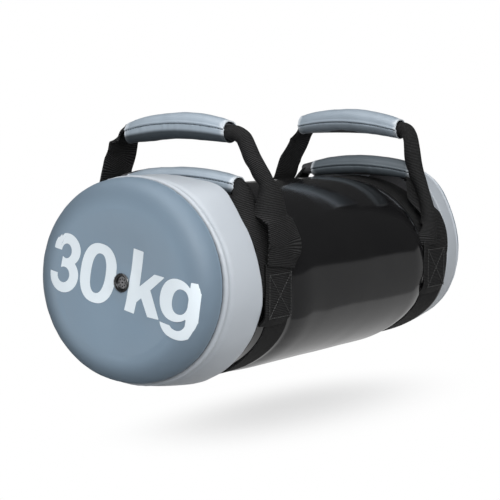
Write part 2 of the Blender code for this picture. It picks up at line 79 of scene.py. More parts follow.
# The studio
# A pale floor some way below the bag, as in the photograph, a white surround, soft lamps overhead
# and to the right, and dim cloths all round that only the glossy skin sees.
FLOOR_DROP = 0.055
FLOOR_HALF_WIDTH = 9.0
SHADOW_SHARE = 0.42           # how much of the shadow the pale paper shows
SHADOW_REACH = (0.40, 0.16)   # half length and half width of the place where it shows
SHADOW_OFFSET = 0.045         # towards the bag's right side
FLOOR_GREY = (0.45, 0.45, 0.45, 1.0)    # as it lights the bag
FLOOR_WHITE = (0.99, 0.99, 0.99, 1.0)   # as the lens sees it
SURROUND_STRENGTH = 0.47
CLOTH_DISTANCE = 2.4
CLOTH_HEIGHT = 3.4
CLOTH_FLATS = 24
DIM_RISE = 0.42               # the pale lower part of the hung cloths
LOW_CLOTH_SHADE = 0.30
HUNG_CLOTH_SHADE = 0.045
FACE_CARD_X = -0.28           # the card whose sheen the marked cap shows, by distance and turn from here
FACE_CARD_CORNERS = ((0.45, 121.0), (1.80, 126.0), (1.80, 141.0), (0.45, 145.0))
FACE_CARD_SHADE = 2.6
CARD_LIFT = 0.001
FACE_CARD_LIFT = 0.004
FRONT_CARD_END = -0.15        # the dark card lies in front of the marked cap
BRIGHT_CARD_EDGE = -0.225     # and the dim one on the bag's right
FLOOR_CARDS = (
    # name, from and to along the bag, from and to across it, brightness
    ("floor_cloth", -CLOTH_DISTANCE, FRONT_CARD_END, -CLOTH_DISTANCE, CLOTH_DISTANCE, 0.10),
    ("dim_card", FRONT_CARD_END, CLOTH_DISTANCE, -CLOTH_DISTANCE, BRIGHT_CARD_EDGE, 0.30),
    ("bright_card", FRONT_CARD_END, CLOTH_DISTANCE, BRIGHT_CARD_EDGE, CLOTH_DISTANCE, 0.58),
)


def add_mesh(name, vertices, faces, edges=()):
    mesh = bpy.data.meshes.new(name)
    mesh.from_pydata([tuple(v) for v in vertices], edges, faces)
    mesh.update()
    return add_object(name, mesh)


def new_material(name):
    material = bpy.data.materials.new(name)
    material.use_nodes = True
    return material, material.node_tree


def add_node(tree, kind, inputs=(), **settings):
    """A new node with its settings. Each input takes a number or another node's output."""
    node = tree.nodes.new(kind)
    for name, value in settings.items():
        setattr(node, name, value)
    for key, value in dict(inputs).items():
        if isinstance(value, bpy.types.NodeSocket):
            tree.links.new(value, node.inputs[key])
        else:
            node.inputs[key].default_value = value
    return node


def calculated(tree, operation, *values):
    """The result of a math node."""
    return add_node(tree, "ShaderNodeMath", dict(enumerate(values)), operation=operation).outputs[0]


def emission(tree, shade=1.0):
    return add_node(tree, "ShaderNodeEmission", {"Color": (shade, shade, shade, 1.0)})


def white_to_lens(tree, shader, lens_shader, output):
    """Shows one shader to the camera and to mirror and glass rays, and lights the rest with another."""
    path = add_node(tree, "ShaderNodeLightPath").outputs
    seen = calculated(tree, "MAXIMUM", path["Is Camera Ray"], path["Is Glossy Ray"])
    either = calculated(tree, "MAXIMUM", seen, path["Is Transmission Ray"])
    mix = add_node(tree, "ShaderNodeMixShader", {0: either, 1: shader.outputs[0], 2: lens_shader.outputs[0]})
    tree.links.new(mix.outputs[0], tree.nodes[output].inputs["Surface"])


def make_floor():
    w = FLOOR_HALF_WIDTH
    floor = add_mesh("floor", [(-w, -w, -FLOOR_DROP), (w, -w, -FLOOR_DROP), (w, w, -FLOOR_DROP),
                               (-w, w, -FLOOR_DROP)], [(0, 1, 2, 3)])
    material, tree = new_material("floor_paper")
    tree.nodes.remove(tree.nodes["Principled BSDF"])
    plain = add_node(tree, "ShaderNodeBsdfDiffuse", {"Color": FLOOR_GREY})
    bright = add_node(tree, "ShaderNodeBsdfDiffuse", {"Color": FLOOR_WHITE})
    place = add_node(tree, "ShaderNodeTexCoord")
    squeeze = add_node(tree, "ShaderNodeMapping", {
        "Vector": place.outputs["Object"],
        "Location": (0.0, SHADOW_OFFSET / SHADOW_REACH[1], 0.0),
        "Scale": (1.0 / SHADOW_REACH[0], 1.0 / SHADOW_REACH[1], 0.0)})
    reach = add_node(tree, "ShaderNodeVectorMath", {0: squeeze.outputs["Vector"]}, operation="LENGTH")
    fade = add_node(tree, "ShaderNodeMapRange", {
        "Value": reach.outputs["Value"], "To Min": 1.0 - SHADOW_SHARE, "To Max": 1.0},
        interpolation_type="SMOOTHERSTEP")
    fading = add_node(tree, "ShaderNodeMixShader", {
        0: fade.outputs["Result"], 1: bright.outputs[0], 2: emission(tree).outputs[0]})
    white_to_lens(tree, plain, fading, "Material Output")
    floor.data.materials.append(material)


def make_surround():
    world = bpy.data.worlds.new("surround")
    bpy.context.scene.world = world
    world.use_nodes = True
    tree = world.node_tree
    dim = tree.nodes["Background"]
    dim.inputs["Color"].default_value = (0.97, 0.985, 1.0, 1.0)
    dim.inputs["Strength"].default_value = SURROUND_STRENGTH
    white = add_node(tree, "ShaderNodeBackground", {"Color": (1.0, 1.0, 1.0, 1.0), "Strength": 1.0})
    white_to_lens(tree, dim, white, "World Output")


def add_lamp(name, place, aim, size, power):
    light = bpy.data.lights.new(name, "AREA")
    light.shape = "RECTANGLE"
    light.size, light.size_y = size
    light.energy = power
    lamp = add_object(name, light)
    lamp.location = place
    lamp.rotation_euler = (Vector(aim) - Vector(place)).to_track_quat("-Z", "Y").to_euler()
    lamp.visible_camera = False


def add_cloth(name, vertices, faces, shade):
    """A cloth or card that only reflections see, which gives the glossy skins their dark and bright parts."""
    cloth = add_mesh(name, vertices, faces)
    material, tree = new_material(name)
    tree.nodes.remove(tree.nodes["Principled BSDF"])
    tree.links.new(emission(tree, shade).outputs[0], tree.nodes["Material Output"].inputs["Surface"])
    cloth.data.materials.append(material)
    for ray in ("camera", "diffuse", "transmission", "shadow"):
        setattr(cloth, f"visible_{ray}", False)


def add_card(name, corners, z, shade):
    """A flat card that faces up, by its corners anticlockwise from above."""
    add_cloth(name, [(x, y, z) for x, y in corners], [(0, 1, 2, 3)], shade)


def make_cloths():
    turns = [math.tau * i / CLOTH_FLATS for i in range(CLOTH_FLATS)]
    rings = [[(CLOTH_DISTANCE * math.cos(turn), CLOTH_DISTANCE * math.sin(turn), z) for turn in turns]
             for z in (-FLOOR_DROP, DIM_RISE, CLOTH_HEIGHT)]
    after = [*range(1, CLOTH_FLATS), 0]
    faces = [(i, after[i], CLOTH_FLATS + after[i], CLOTH_FLATS + i) for i in range(CLOTH_FLATS)]
    add_cloth("low_cloth", rings[0] + rings[1], faces, LOW_CLOTH_SHADE)
    add_cloth("hung_cloth", rings[1] + rings[2], faces, HUNG_CLOTH_SHADE)
    corners = []
    for distance, degrees in FACE_CARD_CORNERS:
        turn = math.radians(degrees)
        corners.append((FACE_CARD_X + distance * math.cos(turn), distance * math.sin(turn)))
    add_card("face_card", corners, FACE_CARD_LIFT - FLOOR_DROP, FACE_CARD_SHADE)
    for name, left, right, near, back, shade in FLOOR_CARDS:
        corners = [(left, near), (right, near), (right, back), (left, back)]
        add_card(name, corners, CARD_LIFT - FLOOR_DROP, shade)


make_floor()
make_surround()
make_cloths()
add_lamp("overhead_lamp", (-0.65, -0.2, 1.9), (-0.1, 0.0, 0.1), (1.8, 1.8), 15.0)
add_lamp("right_lamp", (-0.4, -1.9, 1.1), (0.0, 0.0, 0.1), (1.2, 1.2), 10.0)
add_lamp("front_lamp", (-1.05, -0.75, 0.80), (-0.2, 0.0, 0.1), (0.7, 0.7), 8.8)
bpy.context.scene.view_settings.view_transform = "Standard"

# The sand, its liner and the foam wrap
# Dry sand lies in a coated cloth liner, which a sheet of closed-cell foam rounds out under the
# vinyl. None of it shows; each has its plain finish, and its underside rises with the skin's.
UNDERSIDE_REACH = 0.07        # the underside is drawn up below this height
FRONT_RISE = 0.0012
SLEEVE_RISE = 0.0028
REAR_RISE = 0.0026
UNDERSIDE_SLOPE = 0.004
SLEEVE_RISES = (-0.205, 0.02)   # where along the bag the sleeve's rise sets in, and over what length
REAR_RISES = (0.13, 0.03)
FILLING_ROOM = 0.0025


def principled(tree, colour, roughness, metallic=0.0):
    shader = tree.nodes["Principled BSDF"]
    shader.inputs["Base Color"].default_value = (*colour, 1.0)
    shader.inputs["Roughness"].default_value = roughness
    shader.inputs["Metallic"].default_value = metallic
    return shader


def mixed_colour(tree, factor, first, second):
    """A colour between two, each of which is three numbers or a node's output."""
    first, second = ((*colour, 1.0) if isinstance(colour, tuple) else colour for colour in (first, second))
    mix = add_node(tree, "ShaderNodeMix", {"A": first, "B": second, "Factor": factor}, data_type="RGBA")
    return mix.outputs["Result"]


def feed(tree, name, value):
    """Gives the material's shader an input."""
    tree.links.new(value, tree.nodes["Principled BSDF"].inputs[name])


def two_tone(tree, factor, dark, light):
    """Colours the material between two tones."""
    feed(tree, "Base Color", mixed_colour(tree, factor, dark, light))


def roughen(tree, height, distance, strength=1.0):
    """Bumps the material's surface by a height."""
    bump = add_node(tree, "ShaderNodeBump", {"Strength": strength, "Distance": distance, "Height": height})
    feed(tree, "Normal", bump.outputs["Normal"])


def speckled_material(name, dark, light, grain_size, roughness, depth):
    """A matte filling: specks of two tones at the size of its grains or cells."""
    material, tree = new_material(name)
    principled(tree, light, roughness)
    place = add_node(tree, "ShaderNodeTexCoord").outputs["Object"]
    specks = add_node(tree, "ShaderNodeTexVoronoi", {
        "Vector": place, "Scale": 1.0 / grain_size}).outputs["Distance"]
    two_tone(tree, specks, dark, light)
    roughen(tree, specks, depth)
    return material


sand = speckled_material("dry_sand", (0.34, 0.25, 0.14), (0.56, 0.45, 0.29), 0.0007, 0.95, 0.0003)
liner_cloth = speckled_material("liner_cloth", (0.30, 0.30, 0.28), (0.38, 0.38, 0.36), 0.0011, 0.6, 0.0001)
foam = speckled_material("closed_cell_foam", (0.05, 0.05, 0.055), (0.09, 0.09, 0.095), 0.0009, 0.9, 0.0002)


def smooth_step(value):
    value = min(max(value, 0.0), 1.0)
    return value * value * (3.0 - 2.0 * value)


def ramp(value, start, run):
    """Rises smoothly from 0 at the start to 1 past the run, which is below zero for a ramp downwards."""
    return smooth_step((value - start) / run)


def near_floor(z):
    return 1.0 - smooth_step(z / UNDERSIDE_REACH)


def drawn_up(x, z):
    """How far the underside stays above the lowest skin, most under the sleeve's rear."""
    sleeve = (SLEEVE_RISE + UNDERSIDE_SLOPE * (x + 0.2)) * ramp(x, *SLEEVE_RISES)
    return (FRONT_RISE + sleeve + REAR_RISE * ramp(x, *REAR_RISES)) * near_floor(z)


def refinish(node, finish):
    """Gives a CAD node its finish."""
    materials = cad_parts[node].data.materials
    materials.clear()
    materials.append(finish)


def make_filling(node, finish):
    """The CAD piece with its underside drawn up a little more than the skin's, so that it stays inside."""
    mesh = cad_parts[node].data.copy()
    mesh.transform(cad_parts[node].matrix_world)
    for vertex in mesh.vertices:
        x, _, z = vertex.co
        vertex.co.z += drawn_up(x, z) + FILLING_ROOM * near_floor(z)
    mesh.materials.clear()
    mesh.materials.append(finish)
    filling = add_object(node + "_in_place", mesh)
    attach(filling, "bag")
    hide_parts(node)


fillings = {"sand_fill": sand, "liner": liner_cloth, "foam": foam}
for node in list(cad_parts):
    finish = next((finish for kind, finish in fillings.items() if kind in node), None)
    if finish and "handle" in node:
        refinish(node, finish)
    elif finish:
        make_filling(node, finish)

# The body sleeve
# The middle of the skin, glossy black vinyl with a fine woven emboss, cut as one sheet and sewn
# into a tube. The girth straps draw it in and it swells between them.
sleeve_low, sleeve_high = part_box("body_sleeve")
strap_low, strap_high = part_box("girth_strap_rear")
SLEEVE_PRESS = 0.0018         # how far the resting side is pressed flat
SLEEVE_SIDE_SWELL = 0.0052
SLEEVE_TOP_SWELL = 0.0021
SWELL_RUN = 0.034             # from a strap's edge to the full swell
SLEEVE_SAG = 0.0015
PUCKER_RUN = 0.011            # the cloth puckers beside a strap
PUCKER_HEIGHT = 0.0006
UNDER_BAND = (0.190, 0.010)   # where along the bag the sleeve begins to go with the bands, and the run
UNDER_BAND_LIFT = 0.0035      # keeps the sleeve's end inside the band's foot
REAR_DRIFT = 0.0148           # how far out of place things are sewn on the bag's right side
FRONT_DRIFT = 0.007
FRONT_FOOT_DRIFT = 0.009      # more at the foot of the front strap
REAR_SHOULDER_DRIFT = 0.0072  # more at the shoulder of the rear band
BAND_FOOT_DRIFT = 0.0050
STRAP_FOOT = (0.115, -0.065)  # the heights over which a strap's foot and a band's foot and shoulder set in
BAND_FOOT = (0.14, -0.05)
BAND_SHOULDER = (0.085, 0.06)
SLEEVE_WALL = 0.0012
SLEEVE_ROUND = 288
SLEEVE_LENGTHS = 200
CREASE = math.radians(50)     # edges sharper than this aren't shaded smooth
EMBOSS_STEP = 0.0021
SLEEVE_WAVES = ((0.0004, 0.07, 0.0), (0.00012, 0.028, 7.0))
PUCKER_SIZE = 0.009


def lattice(name, rows, closed_round, uv_rows=None):
    """A mesh through rows of points, closed round each row or not, with its faces outwards."""
    count = len(rows[0])
    vertices = [point for row in rows for point in row]
    across = count if closed_round else count - 1
    faces = []
    for i in range(len(rows) - 1):
        for j in range(across):
            k = (j + 1) % count
            faces.append((i * count + j, i * count + k, (i + 1) * count + k, (i + 1) * count + j))
    thing = add_mesh(name, vertices, faces)
    if uv_rows:
        layer = thing.data.uv_layers.new(name="cloth")
        flat = [uv for row in uv_rows for uv in row]
        for loop in thing.data.loops:
            layer.data[loop.index].uv = flat[loop.vertex_index]
    return thing


def finish_mesh(thing, weld=True, face_out=True):
    """Applies the modifiers, closes doubles, faces the surface outwards and shades it smooth."""
    bpy.context.view_layer.update()
    evaluated = thing.evaluated_get(bpy.context.evaluated_depsgraph_get())
    mesh = bpy.data.meshes.new_from_object(evaluated)
    form = bmesh.new()
    form.from_mesh(mesh)
    if weld:
        bmesh.ops.remove_doubles(form, verts=form.verts, dist=0.000005)
    if face_out:
        bmesh.ops.recalc_face_normals(form, faces=form.faces)
    form.to_mesh(mesh)
    form.free()
    old = thing.data
    thing.modifiers.clear()
    thing.data = mesh
    mesh.name = old.name
    bpy.data.meshes.remove(old)
    thing.data.shade_smooth()
    thing.data.set_sharp_from_angle(angle=CREASE)


def add_wall(thing, wall, offset=-1.0, even=True):
    modifier = thing.modifiers.new("wall", "SOLIDIFY")
    modifier.thickness = wall
    modifier.offset = offset
    modifier.use_even_offset = even


def ripple(x, y, z, size, seed=0.0):
    return noise.noise(Vector((x / size + seed, y / size, z / size)))


def uneven(x, y, z, waves, seed=0.0):
    """How far a stuffed skin stands in or out of its even shape, from waves of (height, size, seed)."""
    return sum(height * ripple(x, y, z, size, seed + own) for height, size, own in waves)


def right_share(y):
    """From 0 at the bag's middle plane to 1 on its right side."""
    return smooth_step(-y / 0.06)


def strap_drift(side, y, z):
    """How far a strap and all that is sewn to it lie out of place on the bag's right side."""
    if side > 0:
        return REAR_DRIFT * right_share(y)
    return (FRONT_DRIFT + FRONT_FOOT_DRIFT * ramp(z, *STRAP_FOOT)) * right_share(y)


def band_drift(side, y, z):
    """How far a band's inner edge lies out of place on the bag's right side."""
    if side > 0:
        return (REAR_DRIFT + REAR_SHOULDER_DRIFT * ramp(z, *BAND_SHOULDER)) * right_share(y)
    return BAND_FOOT_DRIFT * ramp(z, *BAND_FOOT) * right_share(y)


def sleeve_point(x, turn):
    """A point of the sleeve at a place along the bag, turned from the left side up over the top."""
    half_width = sleeve_high.y
    top, bottom = sleeve_high.z, sleeve_low.z - SLEEVE_PRESS
    y = half_width * math.cos(turn)
    z = (top + bottom) / 2 + (top - bottom) / 2 * math.sin(turn)
    side = 1 if x > 0 else -1
    drifted = strap_drift(side, y, z)
    beyond = ramp(abs(x), *UNDER_BAND)
    strap_inner = strap_low.x + side * drifted
    x += drifted * smooth_step(abs(x) / strap_low.x) * (1.0 - beyond) + band_drift(side, y, z) * beyond
    swell, pucker = 0.0, 0.0
    if abs(x) < strap_inner:
        swell = 1.0 - (1.0 - min((strap_inner - abs(x)) / SWELL_RUN, 1.0)) ** 2.4
        pull = math.exp(-(strap_inner - abs(x)) / PUCKER_RUN)
        pucker = PUCKER_HEIGHT * pull * ripple(0.3 * x, y, z, PUCKER_SIZE, 3.0)
    out = Vector((0.0, math.cos(turn) / half_width, math.sin(turn) / ((top - bottom) / 2))).normalized()
    height = SLEEVE_SIDE_SWELL * math.cos(turn) ** 2 + SLEEVE_TOP_SWELL * math.sin(turn) ** 2
    height += uneven(x, y, z, SLEEVE_WAVES)
    point = Vector((x, y, z)) + out * (swell * height + pucker * swell ** 0.3)
    point.z = max(point.z, sleeve_low.z - SLEEVE_SAG * swell + UNDER_BAND_LIFT * beyond)
    point.z += drawn_up(point.x, point.z)
    return point


def add_sockets(tree, way, sockets):
    """Names the inputs or outputs of a group, by their types."""
    for name, kind in sockets.items():
        tree.interface.new_socket(name, in_out=way, socket_type="NodeSocket" + kind)


def new_group(name, inputs, kind="ShaderNodeTree"):
    """A node group with its named inputs, and what they give."""
    tree = bpy.data.node_groups.new(name, kind)
    add_sockets(tree, "INPUT", inputs)
    return tree, tree.nodes.new("NodeGroupInput").outputs


def finish_group(tree, results, kind="Float"):
    """Gives the group its named outputs."""
    add_sockets(tree, "OUTPUT", {name: kind for name in results})
    add_node(tree, "NodeGroupOutput", results)
    return tree


def vinyl_grain_group():
    """Fine pebbled grain and slow mottling of a coated vinyl, as a height and a tone."""
    tree, given = new_group("vinyl_grain", {"Grain Size": "Float"})
    place = add_node(tree, "ShaderNodeTexCoord").outputs["Object"]
    scale = calculated(tree, "DIVIDE", 1.0, given["Grain Size"])
    pebbles = add_node(tree, "ShaderNodeTexVoronoi", {"Vector": place, "Scale": scale, "Smoothness": 0.6},
                       feature="SMOOTH_F1")
    creases = add_node(tree, "ShaderNodeTexNoise", {"Vector": place, "Scale": scale, "Detail": 3.0})
    height = calculated(tree, "MULTIPLY_ADD", creases.outputs["Fac"], 0.6, pebbles.outputs["Distance"])
    mottle = add_node(tree, "ShaderNodeTexNoise", {"Vector": place, "Scale": 14.0, "Detail": 4.0})
    return finish_group(tree, {"Height": height, "Tone": mottle.outputs["Fac"]})


vinyl_grain = vinyl_grain_group()


def place_group(tree, group, inputs):
    """A group's outputs in a material's tree."""
    return add_node(tree, "ShaderNodeGroup", inputs, node_tree=group).outputs


def mapped(tree, value, from_range, to_range, interpolation="LINEAR"):
    """A value carried from one range to another."""
    return add_node(tree, "ShaderNodeMapRange", {
        "Value": value, "From Min": from_range[0], "From Max": from_range[1],
        "To Min": to_range[0], "To Max": to_range[1]}, interpolation_type=interpolation).outputs["Result"]


def embossed_black_material():
    """Black vinyl whose emboss is a fine twill of raised dots, laid round the sleeve."""
    material, tree = new_material("embossed_black_vinyl")
    principled(tree, (0.0085, 0.0085, 0.0090), 0.075).inputs["Specular IOR Level"].default_value = 0.5
    cloth = add_node(tree, "ShaderNodeUVMap", uv_map="cloth").outputs["UV"]
    diagonal = add_node(tree, "ShaderNodeMapping", {
        "Vector": cloth, "Rotation": (0.0, 0.0, math.radians(45))}).outputs["Vector"]
    dots = add_node(tree, "ShaderNodeTexVoronoi", {
        "Vector": diagonal, "Scale": 1.0 / EMBOSS_STEP, "Randomness": 0.0}, voronoi_dimensions="2D")
    domes = mapped(tree, dots.outputs["Distance"], (0.15, 0.62), (1.0, 0.0), "SMOOTHSTEP")
    grain = place_group(tree, vinyl_grain, {"Grain Size": 0.0011})
    roughen(tree, calculated(tree, "MULTIPLY_ADD", grain["Height"], 0.25, domes), 0.00008, 0.12)
    feed(tree, "Roughness", mapped(tree, grain["Tone"], (0.3, 0.7), (0.08, 0.13)))
    two_tone(tree, grain["Tone"], (0.0072, 0.0072, 0.0078), (0.0105, 0.0105, 0.0110))
    return material


def make_sleeve():
    length = sleeve_high.x - 0.0002
    rows, uvs = [], []
    for i in range(SLEEVE_LENGTHS + 1):
        x = length - 2 * length * i / SLEEVE_LENGTHS
        rows.append([sleeve_point(x, math.tau * j / SLEEVE_ROUND) for j in range(SLEEVE_ROUND)])
        uvs.append([(x, sleeve_high.y * math.tau * j / SLEEVE_ROUND) for j in range(SLEEVE_ROUND)])
    sleeve = lattice("sleeve_skin", rows, True, uvs)
    add_wall(sleeve, SLEEVE_WALL)
    finish_mesh(sleeve)
    sleeve.data.materials.append(embossed_black_material())
    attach(sleeve, "bag")
    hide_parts("body_sleeve")


make_sleeve()

# The end bands
# A ring of light grey vinyl behind each cap, drawn in hard by the seam to the cap and standing
# up from the sleeve with a turned edge, because foam rounds it out.
band_low, band_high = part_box("end_band_rear")
cap_low, cap_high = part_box("end_cap_rear")
BAND_RIM_RADIUS = 0.0022
BAND_WALL_SET = 0.0009        # how far the wall leans over its own height
SKIN_WALL = 0.0011
BAND_ROUND = 288
BAND_LENGTHS = 44
SEAM_TUCK = 0.0030
SEAM_TUCK_RUN = 0.0013
WELT_RISE = 0.0013            # a soft roll stands up beside the seam
BAND_PRESS = 0.002
BAND_REST = 0.0022            # the bands' pressed side, a little above the lowest skin
REAR_BAND_LONGER = 0.005
FOLD_HEIGHT, FOLD_SIZE, FOLD_RUN = 0.00045, 0.0048, 0.009   # fine folds beside the seam
DENT_HEIGHT, DENT_SIZE, DENT_RUN = 0.0007, 0.013, 0.008     # dents along the standing rim
BAND_WAVES = ((0.0007, 0.045, 2.0),)
SHOULDERS = {-1: (0.0078, 0.91, 0.21), 1: (0.0070, 0.90, 0.33)}   # height, turn up from the right, spread
FRONT_FULLNESS = 0.0032       # how far the front band bulges to the right
LEFT_FULLNESS = 0.0012
DIRT_AND_SHADE_DULLS = 0.5              # how much rougher the darkest dirt and painted shade make the vinyl
cap_centre_z = (cap_high.z + cap_low.z) / 2

# half width, top, bottom, and the height at which it rests
sleeve_section = (sleeve_high.y, sleeve_high.z, sleeve_low.z - SLEEVE_PRESS, sleeve_low.z)
band_section = (band_high.y, band_high.z, band_low.z - BAND_PRESS, BAND_REST)
seam_section = (cap_high.y, cap_high.z, cap_low.z, BAND_REST)


def mixed(first, second, share):
    return [a + (b - a) * share for a, b in zip(first, second)]


def bag_point(x, turn, section, inset):
    """A point on one of the bag's flattened rounds, turned from the left side up over the top."""
    half_width, top, bottom, rest = section
    half_height = (top - bottom) / 2
    y = (half_width - inset) * math.cos(turn)
    z = (top + bottom) / 2 + (half_height - inset) * math.sin(turn)
    return Vector((x, y, max(z, rest)))


def soft_vinyl_material(name, dark, light, roughness):
    """Satin coated vinyl: fine grain, slow mottling in tone and gloss, worn pale places, and dark places
    where the attribute holds a seam line or painted shade.
    """
    material, tree = new_material(name)
    shader = principled(tree, light, roughness)
    shader.inputs["Coat Roughness"].default_value = 0.35
    shader.inputs["Coat Weight"].default_value = 0.04
    grain = place_group(tree, vinyl_grain, {"Grain Size": 0.0009})
    wear, dirt_and_shade = (add_node(tree, "ShaderNodeAttribute", attribute_name=kind).outputs["Fac"]
                  for kind in ("wear", "dirt_and_shade"))
    worn = mixed_colour(tree, wear, mixed_colour(tree, grain["Tone"], dark, light), (0.74, 0.78, 0.82))
    # The near-black tone darkens the seam lines and the painted shade on the cap rims and grip undersides.
    two_tone(tree, dirt_and_shade, worn, (0.02, 0.028, 0.035))
    gloss = mapped(tree, grain["Tone"], (0.3, 0.7), (roughness - 0.05, roughness + 0.07))
    feed(tree, "Roughness", calculated(tree, "MULTIPLY_ADD", dirt_and_shade, DIRT_AND_SHADE_DULLS, gloss))
    roughen(tree, grain["Height"], 0.00010, 0.25)
    return material


band_vinyl = soft_vinyl_material("light_grey_vinyl", (0.435, 0.47, 0.51), (0.49, 0.525, 0.565), 0.38)


def paint(thing, layer_name, values):
    """Keeps one number per vertex for the material to read."""
    layer = thing.data.attributes.new(layer_name, "FLOAT", "POINT")
    layer.data.foreach_set("value", values)


def seam_place(side):
    """Where the cap is sewn on."""
    return band_high.x + (REAR_BAND_LONGER if side > 0 else 0.0)


def hump(value, centre, spread):
    """A smooth bump, 1 at its centre."""
    return math.exp(-((value - centre) / spread) ** 2)


def band_profile(side):
    """Stations from the band's foot on the sleeve to its seam: (place, level, swell, inset)."""
    foot = sleeve_high.x + 0.0006
    rim = foot + BAND_WALL_SET + BAND_RIM_RADIUS
    stations = [(foot, -0.06, 1.0, 0.0), (foot + 0.0002, 0.25, 1.0, 0.0), (foot + 0.0005, 0.55, 1.0, 0.0),
                (foot + BAND_WALL_SET, 0.80, 1.0, 0.0)]
    for i in range(1, 7):
        angle = math.pi / 2 * i / 6
        across = foot + BAND_WALL_SET + BAND_RIM_RADIUS * (1.0 - math.cos(angle))
        stations.append((across, 0.80 + 0.20 * math.sin(angle), 1.0, 0.0))
    seam = seam_place(side)
    for i in range(1, BAND_LENGTHS + 1):
        share = 1.0 - (1.0 - i / BAND_LENGTHS) ** 1.35
        place = rim + (seam - rim) * share
        swell = math.sqrt(max((seam - place) / (seam - rim), 0.0))
        back = seam - place
        tuck = SEAM_TUCK * max(0.0, 1.0 - back / SEAM_TUCK_RUN) ** 1.6
        welt = WELT_RISE * hump(back, 0.0034, 0.0019)
        valley = 0.7 * WELT_RISE * hump(back, 0.0085, 0.0028)
        stations.append((place, 1.0, swell, tuck - welt + valley))
    return stations


def fuller(side, y, z, seam_share):
    """How far the bands stand out of round: a shoulder at the upper right, and the front band's sides."""
    height, turn, spread = SHOULDERS[side]
    shoulder = height * hump(math.atan2(z - cap_centre_z, -y), turn, spread)
    if side > 0:
        return shoulder
    bulge = FRONT_FULLNESS * right_share(y) + shoulder
    return bulge * (1.0 - seam_share) + LEFT_FULLNESS * right_share(-y)


def thicken(thing, wall):
    """Gives a closed surface its wall, inwards."""
    finish_mesh(thing)
    add_wall(thing, wall)
    finish_mesh(thing, face_out=False)


def make_band(side, name, node):
    rows, dirt_and_shade = [], []
    foot = sleeve_high.x
    seam = seam_place(side)
    for place, level, swell, inset in band_profile(side):
        seam_share = (place - foot) / (seam - foot)
        section = mixed(sleeve_section, mixed(seam_section, band_section, swell), level)
        row = []
        for j in range(BAND_ROUND):
            turn = math.tau * j / BAND_ROUND
            point = bag_point(side * place, turn, section, inset)
            point.x += band_drift(side, point.y, point.z) * (1.0 - seam_share)
            # a dark line along the seam
            dirt_and_shade.append(hump(place, seam, 0.0007))
            near_seam = math.exp(-(seam - place) / FOLD_RUN)
            near_rim = math.exp(-abs(place - foot) / DENT_RUN) if level > 0.7 else 0.0
            fold = FOLD_HEIGHT * near_seam * ripple(side * 0.02, point.y, point.z, FOLD_SIZE, 5.0 * side)
            dent = DENT_HEIGHT * near_rim * ripple(side * 0.2, point.y, point.z, DENT_SIZE, 11.0)
            wave = uneven(*point, BAND_WAVES, side)
            out = Vector((0.0, math.cos(turn), math.sin(turn)))
            point += out * ((fold + dent + wave) if level > 0.5 else 0.0)
            point += out * max(level, 0.0) * fuller(side, point.y, point.z, seam_share)
            point.z = max(point.z, BAND_REST)
            point.z += drawn_up(point.x, point.z)
            row.append(point)
        rows.append(row)
    band = lattice(name, rows, True)
    paint(band, "dirt_and_shade", dirt_and_shade)
    thicken(band, SKIN_WALL)
    band.data.materials.append(band_vinyl)
    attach(band, "bag")
    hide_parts(node)


make_band(-1, "front_band_skin", "end_band_front")
make_band(1, "rear_band_skin", "end_band_rear")

# The end caps
# A round panel of blue-grey vinyl closes each end, sewn to the band through the seam. Foam behind
# it rounds its edge, and its middle is drawn in a little.
cap_rounding = {-1: (0.029, 2.5), 1: (0.038, 2.1)}   # how far in the pillowed edge reaches, its curve's power
CAP_ROUND = 288
CAP_EDGE_STEPS = 22
CAP_FACE_STEPS = 34
VENT_HOLE_RADIUS = 0.0080
CAP_DISH = 0.007
# painted shade over the cap's rounded edge, which is darker than the face
CAP_EDGE_SHADE = 0.30
VENT_SURROUND = (0.14, 0.12)  # the face is even near the vent, in shares of its radius
CAP_WAVES = ((0.0011, 0.060, 4.0), (0.0004, 0.022, 9.0))   # gentle hollows of the stuffed face
cap_squash = (cap_high.z - cap_low.z) / (2 * cap_high.y)


def cap_face_place(radius, y, z, side):
    """How far out the face lies at a radius, also past it on the pillowed edge."""
    reach, power = cap_rounding[side]
    face_radius = cap_high.y - reach
    inner = min(radius / face_radius, 1.0)
    dish = CAP_DISH * (1.0 - inner * inner) ** 2
    hollows = uneven(side, y, z, CAP_WAVES) * ramp(inner, *VENT_SURROUND)
    past = min(max((radius - face_radius) / reach, 0.0), 1.0)
    drop = (cap_high.x - seam_place(side)) * (1.0 - (1.0 - past ** power) ** (1.0 / power))
    return cap_high.x - dish - drop + hollows * (1.0 - past)


def cap_profile(side):
    """Stations from the seam to the face's edge: (place, radius)."""
    reach, power = cap_rounding[side]
    seam = seam_place(side) + 0.0003
    stations = [(seam - 0.0008, cap_high.y - SEAM_TUCK)]
    for i in range(1, 7):
        lift = 1.0 - (1.0 - i / 6) ** 2.2
        stations.append((seam + SEAM_TUCK_RUN * i / 6, cap_high.y - SEAM_TUCK * (1.0 - lift)))
    for i in range(1, CAP_EDGE_STEPS + 1):
        angle = math.pi / 2 * i / CAP_EDGE_STEPS
        out = math.sin(angle) ** (2.0 / power)
        inward = 1.0 - math.cos(angle) ** (2.0 / power)
        place = seam + SEAM_TUCK_RUN + (cap_high.x - seam - SEAM_TUCK_RUN) * out
        stations.append((place, cap_high.y - reach * inward))
    return stations


cap_vinyl = soft_vinyl_material("blue_grey_vinyl", (0.205, 0.284, 0.366), (0.238, 0.324, 0.410), 0.38)


def cap_seam_line_and_edge_shade(place, radius, side):
    """A dark line along the seam, and painted shade over the cap's rounded edge."""
    past_seam = place - seam_place(side)
    edge_shade = CAP_EDGE_SHADE * smooth_step(past_seam / 0.004) * ramp(radius / cap_high.y, 0.72, 0.2)
    return max(edge_shade, hump(past_seam, 0.0003, 0.0006))


